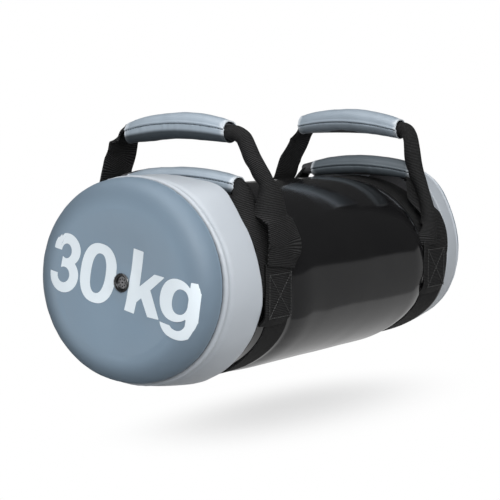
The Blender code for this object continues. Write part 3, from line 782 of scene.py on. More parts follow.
def make_cap(side, name, node, hole):
    rows, dirt_and_shade = [], []
    seam = seam_place(side)
    face_radius = cap_high.y - cap_rounding[side][0]
    face = [(None, max(face_radius * (1.0 - i / CAP_FACE_STEPS), hole)) for i in range(1, CAP_FACE_STEPS + 1)]
    for edge_place, radius in cap_profile(side) + face:
        row = []
        for j in range(CAP_ROUND):
            turn = math.tau * j / CAP_ROUND
            y, z = radius * math.cos(turn), radius * math.sin(turn)
            out = fuller(side, y, cap_centre_z + z, 1.0) * (radius / cap_high.y) ** 3
            if edge_place is None:
                place = cap_face_place(radius, y, z, side)
            else:
                place = edge_place
                near_seam = math.exp(-(place - seam) / 0.008)
                near_edge = hump(place - seam, 0.018, 0.008)
                fold = 0.0005 * near_seam * ripple(side * 0.02, y, z, 0.0052, 2.0 * side)
                out += fold + 0.0003 * near_edge * ripple(side * 0.03, y, z, 0.011, 6.0 * side)
            grow = 1.0 + out / radius
            z = cap_centre_z + z * grow * cap_squash
            row.append(Vector((side * place, y * grow, z + drawn_up(side * place, z))))
        rows.append(row)
        # the seam line and the painted shade of the rounded edge; the face has none
        dirt_and_shade += [0.0 if edge_place is None else cap_seam_line_and_edge_shade(edge_place, radius, side)] * CAP_ROUND
    cap = lattice(name, rows, True)
    paint(cap, "dirt_and_shade", dirt_and_shade)
    thicken(cap, SKIN_WALL)
    cap.data.materials.append(cap_vinyl)
    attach(cap, "bag")
    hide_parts(node)


make_cap(-1, "front_cap_skin", "end_cap_front", VENT_HOLE_RADIUS)
make_cap(1, "rear_cap_skin", "end_cap_rear", 0.0001)

# The printed weight
# Thirty kilograms in plain pale characters, screen printed on the marked cap with a slight turn.
# The ink is a thin film that follows the face. Each character is a few ovals and bars.
PRINT_TURN = math.radians(12.0)
PRINT_RISE = 0.00018
PRINT_CELL = 0.0008
PRINT_CENTRE_Z = 0.1125
PRINT_LEAN = 0.65             # the artwork narrows where the face rounds away


def oval(u, v, centre, half, power=2.0):
    """Below zero inside an oval, by its middle, its half width and half height."""
    across = np.abs(u - centre[0]) / half[0]
    up = np.abs(v - centre[1]) / half[1]
    return ((across ** power + up ** power) ** (1.0 / power) - 1.0) * min(half)


def bar(u, v, left, right, foot, top):
    """Below zero inside an upright bar."""
    return np.maximum(np.maximum(left - u, u - right), np.maximum(foot - v, v - top))


def wedge(u, v, corners):
    """Below zero inside a convex shape, by its corners anticlockwise."""
    inside = np.full_like(u, -1.0)
    for (u0, v0), (u1, v1) in zip(corners, corners[1:] + corners[:1]):
        length = math.hypot(u1 - u0, v1 - v0)
        inside = np.maximum(inside, ((u - u0) * (v1 - v0) - (v - v0) * (u1 - u0)) / length)
    return inside


def three(u, v):
    upper = oval(u, v, (-0.0705, 0.0170), (0.0165, 0.0170))
    lower = oval(u, v, (-0.0700, -0.0095), (0.0175, 0.0185))
    upper_hole = oval(u, v, (-0.0710, 0.0155), (0.0062, 0.0077))
    lower_hole = oval(u, v, (-0.0705, -0.0095), (0.0072, 0.0082))
    mouth = bar(u, v, -0.1, -0.0750, -0.0092, 0.0150)
    holes = np.minimum(np.minimum(upper_hole, lower_hole), mouth)
    return np.maximum(np.minimum(upper, lower), -holes)


def nought(u, v):
    ring = oval(u, v, (-0.0297, 0.0030), (0.0213, 0.0310), 2.35)
    return np.maximum(ring, -oval(u, v, (-0.0300, 0.0028), (0.0088, 0.0208), 2.35))


def letter_k(u, v):
    stem = bar(u, v, 0.0093, 0.0227, -0.0248, 0.0400)
    arm = wedge(u, v, [(0.021, -0.0145), (0.0545, 0.0225), (0.0400, 0.0213), (0.021, 0.0020)])
    leg = wedge(u, v, [(0.0410, -0.0225), (0.0570, -0.0205), (0.0370, 0.0055), (0.0260, -0.0050)])
    return np.minimum(stem, np.minimum(arm, leg))


def letter_g(u, v):
    bowl = oval(u, v, (0.0735, 0.0048), (0.0212, 0.0212), 2.1)
    bowl = np.maximum(bowl, -oval(u, v, (0.0790, 0.0046), (0.0100, 0.0126), 2.2))
    stem = wedge(u, v, [(0.0895, -0.0200), (0.1046, -0.0160), (0.1016, 0.0280), (0.0878, 0.0268)])
    hook = oval(u, v, (0.0805, -0.0130), (0.0240, 0.0205), 2.1)
    hook = np.maximum(hook, -oval(u, v, (0.0795, -0.0130), (0.0105, 0.0115), 2.1))
    hook = np.maximum(hook, v + np.where(u < 0.075, 0.0214, 0.0130))
    return np.minimum(np.minimum(bowl, stem), hook)


print_characters = (
    # shape, left, right, foot and top of its box, along the print's own lines
    (three, -0.089, -0.051, -0.030, 0.036),
    (nought, -0.053, -0.006, -0.030, 0.036),
    (letter_k, 0.007, 0.059, -0.027, 0.042),
    (letter_g, 0.050, 0.107, -0.036, 0.030),
)


def print_point(u, v):
    """The place on the marked face of a point of the print."""
    y = -(u * math.cos(PRINT_TURN) + v * math.sin(PRINT_TURN))
    z = v * math.cos(PRINT_TURN) - u * math.sin(PRINT_TURN) + PRINT_CENTRE_Z - cap_centre_z
    face_radius = cap_high.y - cap_rounding[-1][0]
    laid_y, place = y, cap_high.x
    for _ in range(12):
        radius = math.hypot(laid_y, z / cap_squash)
        place = cap_face_place(radius, laid_y, z / cap_squash, -1)
        if radius <= face_radius:
            break
        laid_y = y + PRINT_LEAN * (cap_high.x - place)
    return Vector((-place - PRINT_RISE, laid_y, cap_centre_z + z))


def stencil(shape, left, right, foot, top):
    """Vertices and small faces that fill one character, cut along its edge."""
    us = np.arange(left, right, PRINT_CELL)
    vs = np.arange(foot, top, PRINT_CELL)
    height = shape(*np.meshgrid(us, vs, indexing="ij"))
    vertices, faces, known = [], [], {}

    def keep(key, u, v):
        if key not in known:
            known[key] = len(vertices)
            vertices.append(print_point(u, v))
        return known[key]

    for i in range(len(us) - 1):
        for j in range(len(vs) - 1):
            ring = [(i, j), (i + 1, j), (i + 1, j + 1), (i, j + 1)]
            if min(height[corner] for corner in ring) >= 0:
                continue
            face = []
            for here, there in zip(ring, ring[1:] + ring[:1]):
                if height[here] < 0:
                    face.append(keep(here, us[here[0]], vs[here[1]]))
                if (height[here] < 0) != (height[there] < 0):
                    share = height[here] / (height[here] - height[there])
                    u = us[here[0]] + (us[there[0]] - us[here[0]]) * share
                    v = vs[here[1]] + (vs[there[1]] - vs[here[1]]) * share
                    face.append(keep(tuple(sorted((here, there))), u, v))
            faces.append(face)
    return vertices, faces


def ink_material():
    """Pale ink, a little uneven where the grain shows through."""
    material, tree = new_material("printed_ink")
    principled(tree, (0.80, 0.88, 0.94), 0.45)
    grain = place_group(tree, vinyl_grain, {"Grain Size": 0.0009})
    two_tone(tree, grain["Tone"], (0.79, 0.875, 0.935), (0.84, 0.91, 0.96))
    roughen(tree, grain["Height"], 0.0001, 0.2)
    return material


def make_print():
    vertices, faces = [], []
    for entry in print_characters:
        new_vertices, new_faces = stencil(*entry)
        faces += [[index + len(vertices) for index in face] for face in new_faces]
        vertices += new_vertices
    film = add_mesh("weight_print", vertices, faces)
    form = bmesh.new()
    form.from_mesh(film.data)
    bmesh.ops.remove_doubles(form, verts=form.verts, dist=0.00001)
    bmesh.ops.dissolve_degenerate(form, dist=0.00001, edges=form.edges)
    form.to_mesh(film.data)
    form.free()
    if film.data.polygons[0].normal.x > 0:
        film.data.flip_normals()
    film.data.shade_smooth()
    film.data.materials.append(ink_material())
    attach(film, "bag")


make_print()

# The vent
# A plated eyelet clinched through the cap with a drilled screen in its bore, so that air leaves the
# bag and the sand stays in. The washer is on the eyelet's back.


def object_noise(tree, scale, detail=2.0):
    """Plain noise that stays with the object."""
    place = add_node(tree, "ShaderNodeTexCoord").outputs["Object"]
    return add_node(tree, "ShaderNodeTexNoise", {
        "Vector": place, "Scale": scale, "Detail": detail}).outputs["Fac"]


def plated_material(name, colour, roughness):
    """Bright plating with fine scratches and a dull film in its low places."""
    material, tree = new_material(name)
    principled(tree, colour, roughness, 1.0)
    scratches = object_noise(tree, 900.0, 4.0)
    feed(tree, "Roughness", mapped(tree, scratches, (0.0, 1.0), (roughness - 0.07, roughness + 0.12)))
    two_tone(tree, scratches, tuple(c * 0.75 for c in colour), colour)
    return material


vent_pieces = (("vent_eyelet", (0.36, 0.37, 0.38), 0.20), ("vent_washer", (0.5, 0.5, 0.52), 0.3),
               ("vent_screen", (0.32, 0.32, 0.33), 0.38))
for node, colour, roughness in vent_pieces:
    refinish(node, plated_material(f"{node}_plating", colour, roughness))

# The girth straps
# Heavy black ribbed webbing goes round the sleeve beside each band, drawn tight and sewn on. The
# ribs run across it and its edges are woven thicker.
WEB_WIDTH = strap_high.x - strap_low.x
WEB_WALL = 0.002
EDGE_DROP = 0.0002            # a strap's edges are drawn down
STRAP_WAVER = 0.0005
RIB_STEP = 0.00175
THREAD_STEP = 0.0011          # across the ribs
STRAP_DRAG = 0.009            # the front strap's inner edge is dragged towards the band on the right
STRAP_ROUND = 240
STRAP_ACROSS = 16


def woven_wave(tree, source, step, phase=None):
    """A rounded wave along one direction, from 0 to 1."""
    length = step / math.tau if isinstance(step, float) else calculated(tree, "DIVIDE", step, math.tau)
    turns = calculated(tree, "DIVIDE", source, length)
    if phase is not None:
        turns = calculated(tree, "ADD", turns, phase)
    return calculated(tree, "MULTIPLY_ADD", calculated(tree, "SINE", turns), 0.5, 0.5)


def webbing_group():
    """Woven ribs from a cloth map in metres: length along the webbing, then across it."""
    tree, given = new_group("ribbed_weave", {"Rib Step": "Float"})
    cloth = add_node(tree, "ShaderNodeUVMap", uv_map="cloth").outputs["UV"]
    split = add_node(tree, "ShaderNodeSeparateXYZ", {0: cloth}).outputs
    wobble = add_node(tree, "ShaderNodeTexNoise", {"Vector": cloth, "Scale": 260.0}).outputs["Fac"]
    rib = woven_wave(tree, split["X"], given["Rib Step"], wobble)
    both = calculated(tree, "MULTIPLY", rib, woven_wave(tree, split["Y"], THREAD_STEP))
    height = calculated(tree, "MULTIPLY_ADD", both, 0.55, rib)
    fuzz = add_node(tree, "ShaderNodeTexNoise", {"Vector": cloth, "Scale": 1400.0, "Detail": 3.0})
    tone = calculated(tree, "MULTIPLY", both, fuzz.outputs["Fac"])
    return finish_group(tree, {"Height": height, "Tone": tone})


ribbed_weave = webbing_group()


def webbing_material():
    material, tree = new_material("black_webbing")
    principled(tree, (0.010, 0.010, 0.010), 0.70).inputs["Specular IOR Level"].default_value = 0.12
    weave = place_group(tree, ribbed_weave, {"Rib Step": RIB_STEP})
    two_tone(tree, weave["Tone"], (0.0045, 0.0045, 0.0045), (0.125, 0.125, 0.128))
    roughen(tree, weave["Height"], 0.0005, 0.8)
    return material


black_webbing = webbing_material()


def make_strap(side, name, node):
    low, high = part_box(node)
    half_width, top = high.y, high.z
    bottom = sleeve_low.z - SLEEVE_PRESS - (high.y - sleeve_high.y)
    rows, uvs = [], []
    round_length = math.pi * (half_width + (top - bottom) / 2)
    for i in range(STRAP_ROUND):
        turn = math.tau * i / STRAP_ROUND
        row, uv = [], []
        waver = STRAP_WAVER * noise.noise(Vector((3.0 * side, math.cos(turn) * 2, math.sin(turn) * 2)))
        for j in range(STRAP_ACROSS + 1):
            across = (j / STRAP_ACROSS - 0.5) * WEB_WIDTH
            dragged = smooth_step(across / 0.02) * smooth_step(-math.cos(turn) / 0.5) if side < 0 else 0.0
            x = (low.x + high.x) / 2 + across - STRAP_DRAG * dragged + waver
            lower = EDGE_DROP * abs(2 * j / STRAP_ACROSS - 1) ** 6
            y = (half_width - lower) * math.cos(turn)
            z = (top + bottom) / 2 + ((top - bottom) / 2 - lower) * math.sin(turn)
            z = max(z, 0.0002)
            row.append(Vector((x + strap_drift(side, y, z), y, z + drawn_up(x, z))))
            uv.append((round_length * i / STRAP_ROUND, across))
        rows.append(row)
        uvs.append(uv)
    rows.append(rows[0])
    uvs.append([(round_length, across) for _, across in uvs[0]])
    strap = lattice(name, rows, False, uvs)
    finish_mesh(strap)
    add_wall(strap, WEB_WALL - 0.0002)
    finish_mesh(strap)
    strap.data.materials.append(black_webbing)
    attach(strap, "bag")
    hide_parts(node)


make_strap(-1, "front_girth_webbing", "girth_strap_front")
make_strap(1, "rear_girth_webbing", "girth_strap_rear")

# The handle ends
# A length of the same webbing is sewn flat over each low handle's root, with a crossed box of
# thread, and turns in under its own end at the bottom.
PATCH_WIDTH = 0.0499
PATCH_DRIFT = 0.007           # the rear patch on the right lies out of place with its strap
PATCH_MARGIN = 0.005          # from its sides to the stitches
STRIP_CELLS = 28
STRIP_STEP = 0.0022
STRIP_FLAT = (0.036, 0.010)   # a strip lies flat once it seems this wide, and the run of that
STRIP_FOLDED = (0.015, 0.010)   # and up to here it is folded hardest
STRIP_WAVE, STRIP_WAVE_SIZE = 0.0006, 0.018
ROLL_HEIGHT = (0.148, 0.009)  # where a leg's edge rolls up, and the spread
SLANT_HEIGHT = (0.150, -0.018)
STITCH_STEP = 0.0034
STITCH_LENGTH = 0.0023
THREAD_RADIUS = 0.00038


def stitch_tree():
    """Puts a thread stitch at even steps along every line of a mesh."""
    tree, given = new_group("stitch_run", {
        "Lines": "Geometry", "Stitch Step": "Float", "Stitch Length": "Float", "Thread Radius": "Float",
        "Thread": "Material"}, "GeometryNodeTree")
    curve = add_node(tree, "GeometryNodeMeshToCurve", {"Mesh": given["Lines"]}).outputs["Curve"]
    even = add_node(tree, "GeometryNodeResampleCurve", {"Curve": curve, "Length": given["Stitch Step"]},
                    mode="LENGTH")
    tangent = add_node(tree, "GeometryNodeInputTangent").outputs["Tangent"]
    turn = add_node(tree, "FunctionNodeAlignRotationToVector", {"Vector": tangent}, axis="Z")
    stitch = add_node(tree, "GeometryNodeMeshCylinder", {
        "Vertices": 6, "Radius": given["Thread Radius"], "Depth": given["Stitch Length"]})
    sizes = add_node(tree, "FunctionNodeRandomValue", {2: 0.85, 3: 1.1, "Seed": 7}, data_type="FLOAT")
    stitches = add_node(tree, "GeometryNodeInstanceOnPoints", {
        "Points": even.outputs["Curve"], "Instance": stitch.outputs["Mesh"],
        "Rotation": turn.outputs["Rotation"], "Scale": sizes.outputs[1]}).outputs["Instances"]
    real = add_node(tree, "GeometryNodeRealizeInstances", {"Geometry": stitches}).outputs["Geometry"]
    painted = add_node(tree, "GeometryNodeSetMaterial", {"Geometry": real, "Material": given["Thread"]})
    return finish_group(tree, {"Stitches": painted.outputs["Geometry"]}, "Geometry")


stitch_run = stitch_tree()


def thread_material(name, colour):
    material, tree = new_material(name)
    principled(tree, colour, 0.55)
    twist = object_noise(tree, 2500.0)
    two_tone(tree, twist, tuple(c * 0.6 for c in colour), tuple(c * 1.4 for c in colour))
    roughen(tree, twist, 0.0001)
    return material


black_thread = thread_material("black_thread", (0.05, 0.05, 0.05))


def sew(name, body, lines, thread, step=STITCH_STEP, length=STITCH_LENGTH, radius=THREAD_RADIUS):
    """Sews stitches along lines of points and lets them ride on a body."""
    vertices, edges = [], []
    for line in lines:
        edges += [(len(vertices) + i, len(vertices) + i + 1) for i in range(len(line) - 1)]
        vertices += line
    seam = add_mesh(name, vertices, [], edges)
    modifier = seam.modifiers.new("stitches", "NODES")
    modifier.node_group = stitch_run
    values = {"Stitch Step": step, "Stitch Length": length, "Thread Radius": radius, "Thread": thread}
    for item in stitch_run.interface.items_tree:
        if item.name in values:
            modifier[item.identifier] = values[item.name]
    finish_mesh(seam, weld=False, face_out=False)
    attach(seam, body)
    return seam


def smooth_line(stations, step):
    """Rows of numbers through the given rows, evenly spaced by their first three, with round bends."""
    rows = [np.array(station, float) for station in stations]
    rows = [2 * rows[0] - rows[1]] + rows + [2 * rows[-1] - rows[-2]]
    line = []
    for before, start, end, after in zip(rows, rows[1:], rows[2:], rows[3:]):
        count = max(int(np.linalg.norm(end[:3] - start[:3]) / step), 1)
        for i in range(count):
            t = i / count
            second = 2 * before - 5 * start + 4 * end - after
            third = 3 * start - before - 3 * end + after
            line.append(0.5 * (2 * start + (end - before) * t + second * t ** 2 + third * t ** 3))
    return line + [rows[-2]]


def gathered(width, full, lean, count):
    """The cross-section of a strip drawn together to a width: (across, inwards) at even steps.

    A lean above zero curls the side away from the bag's middle more than the other.
    """
    shares = (np.arange(count) + 0.5) / count - 0.5

    def bent(total):
        turns = total * (np.cumsum(1.0 + 2.0 * lean * shares) - 0.5 * (1.0 + 2.0 * lean * shares)) / count
        flat_at = np.interp(-0.2 * lean, shares, turns)
        across = np.concatenate(([0.0], np.cumsum(np.cos(turns - flat_at)))) * full / count
        inwards = np.concatenate(([0.0], np.cumsum(np.sin(turns - flat_at)))) * full / count
        return across, inwards

    low, high = 0.01, 5.6
    for _ in range(24):
        middle = (low + high) / 2
        across, inwards = bent(middle)
        if across.max() - across.min() > width:
            low = middle
        else:
            high = middle
    return across - (across.max() + across.min()) / 2, inwards - inwards.min()


def web_sheet(name, side, hand, stations, roll=0.0, seed=0.0, moved=0.0, lean=0.0, slant=0.0, folds=3.0):
    """A strip of webbing through stations (place, y, z, seeming width), curled inwards at its edges.

    The stations give the strip's outermost line. A roll lifts the edge nearest the bag's middle, and
    a slant raises that edge's end. Folds is how much wider the strip is than it seems where narrow.
    """
    line = smooth_line(stations, STRIP_STEP)
    points = [Vector((side * row[0] + moved, hand * row[1], row[2])) for row in line]
    rows, uvs, along = [], [], 0.0
    for i, (row, point) in enumerate(zip(line, points)):
        before, after = points[max(i - 1, 0)], points[min(i + 1, len(points) - 1)]
        along += (point - points[i - 1]).length if i else 0.0
        tangent = (after - before).normalized()
        width_way = (Vector((side, 0.0, 0.0)) - tangent * tangent.x * side).normalized()
        out = tangent.cross(width_way) * (-side * hand)
        open_share = ramp(row[3], *STRIP_FLAT)
        fold_ratio = folds + (min(folds, 1.4) - folds) * ramp(row[3], *STRIP_FOLDED)
        folded = min(max(WEB_WIDTH, row[3]), fold_ratio * row[3])
        full = folded * (1.0 - open_share) + row[3] * 1.002 * open_share
        sideways, inwards = gathered(row[3], full, lean * (1.0 - open_share), STRIP_CELLS)
        cells, uv = [], []
        for j in range(STRIP_CELLS + 1):
            share = j / STRIP_CELLS - 0.5
            fold = roll * hump(share, -0.38, 0.10) * hump(point.z, *ROLL_HEIGHT)
            wave = STRIP_WAVE * ripple(point.x + share * 0.05, point.y, point.z, STRIP_WAVE_SIZE, seed + 3.0)
            cell = point + width_way * sideways[j] - out * (inwards[j] - fold - wave)
            cell.z -= slant * share * ramp(point.z, *SLANT_HEIGHT)
            cells.append(cell)
            uv.append((along, share * full))
        rows.append(cells)
        uvs.append(uv)
    sheet = lattice(name, rows, False, uvs)
    finish_mesh(sheet, weld=False, face_out=False)
    middle = sheet.data.polygons[len(sheet.data.polygons) - STRIP_CELLS // 2]
    if middle.normal.y * hand < 0:
        sheet.data.flip_normals()
    add_wall(sheet, WEB_WALL - 0.0003, -0.4, False)
    finish_mesh(sheet, face_out=False, weld=False)
    sheet.data.materials.append(black_webbing)
    return sheet


def make_patch(side, hand, node):
    low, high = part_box(node)
    place = abs(low.x + high.x) / 2
    layer = max(abs(low.y), abs(high.y)) - WEB_WALL / 2
    foot_y = min(abs(low.y), abs(high.y)) + WEB_WALL / 2
    stations = [(place, y, z, PATCH_WIDTH) for y, z in (
        (layer, high.z + 0.008), (layer + 0.0003, high.z - 0.012), (layer + 0.0002, high.z - 0.030),
        (layer - 0.0004, low.z + 0.011), (foot_y, low.z + 0.0008))]
    moved = PATCH_DRIFT if (side, hand) == (1, -1) else 0.0
    patch = web_sheet(f"{node}_webbing", side, hand, stations, seed=place + side + hand, moved=moved)
    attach(patch, "bag")
    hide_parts(node)
    out = layer + WEB_WALL / 2 + THREAD_RADIUS * 0.4
    left, right = place - WEB_WIDTH / 2 + PATCH_MARGIN, place + WEB_WIDTH / 2 - PATCH_MARGIN
    foot, top = low.z + 0.010, high.z - 0.003

    def run(corners):
        """Points along straight lines between corners, on the patch."""
        line = [(x0 + (x1 - x0) * t / 12, z0 + (z1 - z0) * t / 12)
                for (x0, z0), (x1, z1) in zip(corners, corners[1:]) for t in range(12)]
        return [Vector((side * x + moved, hand * out, z)) for x, z in line + [corners[-1]]]

    box = run([(left, foot), (right, foot), (right, top), (left, top), (left, foot)])
    cross = [run([(left, foot), (right, top)]), run([(right, foot), (left, top)])]
    sew(f"{node}_stitches", "bag", [box] + cross, black_thread)


for end_name, side in (("front", -1), ("rear", 1)):
    for hand_name, hand in (("right", -1), ("left", 1)):
        make_patch(side, hand, f"handle_patch_{end_name}_{hand_name}")

# The grips
# Each grip is a roll of foam in a sheet of blue-grey vinyl, sewn shut along one side. The seam
# stands up a little, puckers the vinyl under it, and the ends are worn pale.
GRIP_ROUND = 168
GRIP_LENGTHS = 96
GRIP_STITCHES = 120
GRIP_WEAR = 0.75
GRIP_UNDERSIDE_SHADE = (-0.10, -0.30)    # the painted shade on the underside sets in just below the middle
GRIP_WAVES = ((0.0007, 0.030, 0.0), (0.00035, 0.011, 5.0))
GRIP_ROUNDNESS = 2.25         # a little squarer than an oval
SEAM_RIDGE = (0.0010, -0.0015, 0.0011)   # height, place below the seam, spread
SEAM_GROOVE = (0.0009, 0.0003, 0.0007)
SEAM_PUCKER = (0.0010, 0.0042, 0.0055)   # height, size, how far down they run
GRIP_SEAM = (0.0036, 0.0024, 0.00042)   # stitch step and length, thread radius
CARRY_FLATNESS = 0.892        # a grip's depth over its width
LOW_FLATNESS = 0.821
grips = {
    # half length, shift towards the bag's left, lift, rise of the middle, tilt, painted shade on the
    # underside
    "front_carry_handle": (0.0640, 0.0, 0.0, 0.0068, -0.028, 0.93),
    "front_low_handle": (0.0690, -0.0125, -0.0008, 0.0060, 0.0, 0.60),
    "rear_carry_handle": (0.0690, -0.0040, 0.0026, 0.0080, 0.020, 0.40),
    "rear_low_handle": (0.0690, -0.0175, 0.0022, 0.0070, 0.0, 0.40),
}


def grip_shape(handle):
    """A grip's half length, place, shift, height, rise, tilt, half width and half depth."""
    low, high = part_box(f"{handle}_cover")
    half_length, shift, lift, rise, tilt, _ = grips[handle]
    half_width = (high.x - low.x) / 2
    half_depth = half_width * (CARRY_FLATNESS if "carry" in handle else LOW_FLATNESS)
    height = high.z - half_depth + lift
    return half_length, (low.x + high.x) / 2, shift, height, rise, tilt, half_width, half_depth


def grip_point(shape, y, turn, lift=0.0, seed=0.0):
    """A point of a grip's outside, turned from +X up over the top."""
    half_length, place, shift, middle, rise, tilt, half_width, half_depth = shape
    share = abs(y) / half_length
    size = 1.0 - 0.08 * share ** 2 - 0.14 * share ** 6 + 0.05 * math.exp(-(1.0 - share) / 0.03)
    centre = middle - rise * share * share + tilt * y
    flat = 2.0 / GRIP_ROUNDNESS
    x = half_width * math.copysign(abs(math.cos(turn)) ** flat, math.cos(turn))
    z = half_depth * math.copysign(abs(math.sin(turn)) ** flat, math.sin(turn))
    out = Vector((x / half_width ** 2, 0.0, z / half_depth ** 2)).normalized()
    lift += uneven(place + x, y, z, GRIP_WAVES, seed)
    return Vector((place, y + shift, centre)) + Vector((x, 0.0, z)) * size + out * lift


def seam_lift(shape, y, turn, seam_turn, seed):
    """The seam's ridge above its stitches, the groove under them and the puckers below."""
    half_width, half_depth = shape[-2:]
    below = (turn - seam_turn) * (half_width + half_depth) / 2
    ridge, groove = (height * hump(below, *place) for height, *place in (SEAM_RIDGE, SEAM_GROOVE))
    height, size, run = SEAM_PUCKER
    fade = math.exp(-below / run) if below > SEAM_GROOVE[1] else 0.0
    return ridge - groove + height * fade * ripple(0.0, y, 0.0, size, seed + 9.0)


def make_cover(handle, seam_turn, vinyl):
    name = f"{handle}_grip"
    shape = grip_shape(handle)
    half_length = shape[0]
    seed = 3.0 + 7.0 * shape[1]
    rows, worn, dirt_and_shade = [], [], []
    for i in range(GRIP_LENGTHS + 1):
        share = 2 * i / GRIP_LENGTHS - 1
        y = half_length * math.sin(math.pi / 2 * share) * 0.35 + half_length * share * 0.65
        row = []
        for j in range(GRIP_ROUND):
            turn = math.tau * j / GRIP_ROUND
            row.append(grip_point(shape, y, turn, seam_lift(shape, y, turn, seam_turn, seed), seed))
            from_end = half_length - abs(y)
            ragged = from_end + 0.0025 * ripple(0.0, y, turn * 0.01, 0.004, seed)
            worn.append(GRIP_WEAR * smooth_step(1.0 - ragged / 0.006))
            # The underside is painted darker, as shade.
            dirt_and_shade.append(grips[handle][-1] * ramp(math.sin(turn), *GRIP_UNDERSIDE_SHADE))
        rows.append(row)
    cover = lattice(name, rows, True)
    paint(cover, "wear", worn)
    paint(cover, "dirt_and_shade", dirt_and_shade)
    thicken(cover, SLEEVE_WALL)
    cover.data.materials.append(vinyl)
    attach(cover, handle)
    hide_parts(f"{handle}_cover")
    line = []
    for i in range(1, GRIP_STITCHES):
        y = half_length * (2 * i / GRIP_STITCHES - 1) * 0.985
        lift = seam_lift(shape, y, seam_turn, seam_turn, seed) + 0.0002
        line.append(grip_point(shape, y, seam_turn, lift, seed))
    sew(f"{name}_stitches", handle, [line], grey_thread, *GRIP_SEAM)


grey_thread = thread_material("grey_thread", (0.030, 0.042, 0.055))
grip_vinyl = soft_vinyl_material("grip_vinyl", (0.305, 0.365, 0.425), (0.35, 0.41, 0.47), 0.33)
# A darker copy of the grip vinyl: painted shade for the rear low grip, which is lit less.
shaded_grip_vinyl = soft_vinyl_material("painted_shade_grip_vinyl", (0.105, 0.130, 0.150), (0.145, 0.170, 0.190), 0.45)
for end_name, seam_turns in (("front", (171.0, 168.0)), ("rear", (187.0, 184.0))):
    for kind, seam_turn in zip(("carry", "low"), seam_turns):
        handle = f"{end_name}_{kind}_handle"
        # the rear low grip takes the darker copy, as painted shade
        vinyl = shaded_grip_vinyl if (end_name, kind) == ("rear", "low") else grip_vinyl
        make_cover(handle, math.radians(seam_turn), vinyl)

# The handle webbing
# One length of webbing makes each handle: its middle runs through the grip, its ends are gathered
# where they leave it, open out on the way down and are sewn under the patches.

# Stations down each leg, in millimetres: place along the bag, distance from its middle plane, height
# and seeming width
CARRY_FOOT = (
    (169.5, 119.5, 165, 47), (169, 123.5, 154, 49), (169, 124.5, 140, 49.5), (169, 124.5, 128.5, 49.5))
FRONT_CARRY_NEAR = (
    (175, 58, 272.2, 15), (175, 69, 272, 16.5), (175, 77.5, 270.5, 18.5), (174.5, 87.5, 264, 19),
    (174, 93.8, 252.5, 19), (173.5, 98, 244, 17.5), (173, 103.5, 235.5, 15.5), (170.5, 110.8, 222.5, 19),
    (169, 116, 211, 23.5), (168, 118.5, 199, 29.5), (167.5, 120, 188, 35.8), (167, 121.5, 178, 43.5),
    (165.5, 124, 166.5, 51.5), (163.5, 125.4, 156, 56), (162.5, 125.8, 149, 59.5),
    (164.2, 125.2, 141, 59), (166, 124.8, 134, 55), (167.5, 124.7, 128.5, 51.5))
FRONT_CARRY_FAR = (
    (175, 52, 271.5, 18), (174.5, 64, 271.2, 24), (173, 72, 268, 31), (170, 77.5, 261.5, 41),
    (167.8, 81.5, 254, 48), (167, 85, 239, 49.7), (170.5, 86.8, 229, 49.7), (173.8, 88, 219, 49.5),
    (173.8, 92.5, 206, 47), (172, 103, 192, 44), (170.5, 112.5, 178, 45)) + CARRY_FOOT
REAR_CARRY_FAR = (
    (176, 52, 273.5, 18), (178, 62, 272, 26), (180.7, 69, 267, 35), (182.7, 74, 258, 42.4),
    (182.1, 78.5, 244, 45), (174, 83, 229, 44), (168.5, 86, 211, 48), (167.5, 89.5, 201, 49),
    (169.5, 101, 190, 46.5), (170.2, 111.8, 178, 45.5)) + CARRY_FOOT
REAR_CARRY_NEAR = (
    (175, 60, 272.2, 15), (175, 72, 272, 17), (175, 81, 270.8, 19.5), (175, 88, 266.5, 21.2),
    (175, 92.5, 259.5, 22.5), (174.8, 95, 253, 22.8), (174.5, 97, 244.5, 21.8), (174.5, 102, 221.2, 17.8),
    (175, 107.6, 203.3, 14.2), (176, 113.6, 185.3, 13), (176.2, 118.5, 170.4, 15),
    (174.5, 122.2, 155.5, 20), (171.2, 124, 143, 28), (168.8, 124.7, 134, 34), (169, 124.7, 128, 37))
FRONT_LOW_NEAR = (
    (184, 69, 217.5, 13), (184, 79, 217.8, 15), (184, 85, 216, 19.5), (184, 90.5, 211.5, 25),
    (183.8, 95, 204, 30), (183, 99, 192, 35), (181.8, 103, 180, 40), (180, 108, 167, 44.5),
    (178, 113, 155, 47.5), (176, 117.5, 142, 49.2), (174.5, 119.7, 129, 49.8), (173.5, 120.1, 118, 49.8),
    (173, 120.1, 100, 49.8))
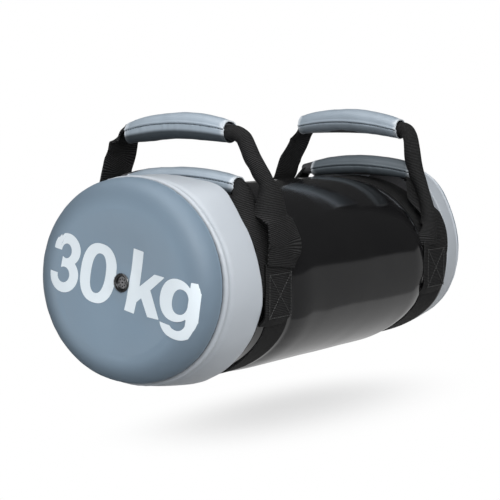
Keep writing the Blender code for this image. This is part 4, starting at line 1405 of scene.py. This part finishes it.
LOW_FAR = (
    (184, 48, 217.5, 12.5), (184, 59, 217.2, 14.5), (184, 65.5, 215, 19), (184, 73, 207.5, 24.5),
    (183.5, 80, 198.5, 30), (182.5, 89, 186, 36), (180.8, 98.5, 172, 42), (178.5, 107.5, 159, 46),
    (176, 115.5, 146, 49), (174.5, 119.3, 133, 49.8), (173.5, 120.1, 120, 49.8), (173, 120.1, 100, 49.8))
REAR_LOW_NEAR = (
    (184, 71, 217.5, 13), (184, 81, 217.8, 15), (184.5, 86.5, 215.5, 19.5), (186, 91, 210, 25),
    (187, 95, 201, 30), (188, 99, 190, 35), (188.5, 103.5, 178, 40), (189, 109, 165, 44.5),
    (190, 114.5, 152, 47.5), (190, 118.5, 139, 48.5), (189.5, 120.3, 125, 48), (187, 120.3, 112, 48),
    (182.5, 120.3, 96, 48))
FAR_FOLDS = 1.15


def join_sheets(name, sheets):
    """One mesh of several finished ones that share a material."""
    form = bmesh.new()
    for sheet in sheets:
        form.from_mesh(sheet.data)
    joined = add_mesh(name, [], [])
    form.to_mesh(joined.data)
    form.free()
    joined.data.materials.append(sheets[0].data.materials[0])
    for sheet in sheets:
        bpy.data.objects.remove(sheet)
    joined.data.shade_smooth()
    joined.data.set_sharp_from_angle(angle=CREASE)
    return joined


def make_handle(end_name, side, kind, near, far, **near_shape):
    handle = f"{end_name}_{kind}_handle"
    near, far = ([[value / 1000 for value in station] for station in leg] for leg in (near, far))
    sheets = [web_sheet(f"{handle}_near", side, -1, near, seed=1.0 + side, **near_shape),
              web_sheet(f"{handle}_far", side, 1, far, seed=4.0 + side, folds=FAR_FOLDS)]
    webbing = join_sheets(f"{handle}_web", sheets)
    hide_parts(f"{handle}_webbing")
    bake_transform(webbing)


make_handle("front", -1, "carry", FRONT_CARRY_NEAR, FRONT_CARRY_FAR, roll=0.0045, lean=0.8, slant=0.008)
make_handle("rear", 1, "carry", REAR_CARRY_NEAR, REAR_CARRY_FAR)
make_handle("front", -1, "low", FRONT_LOW_NEAR, LOW_FAR)
make_handle("rear", 1, "low", REAR_LOW_NEAR, LOW_FAR)
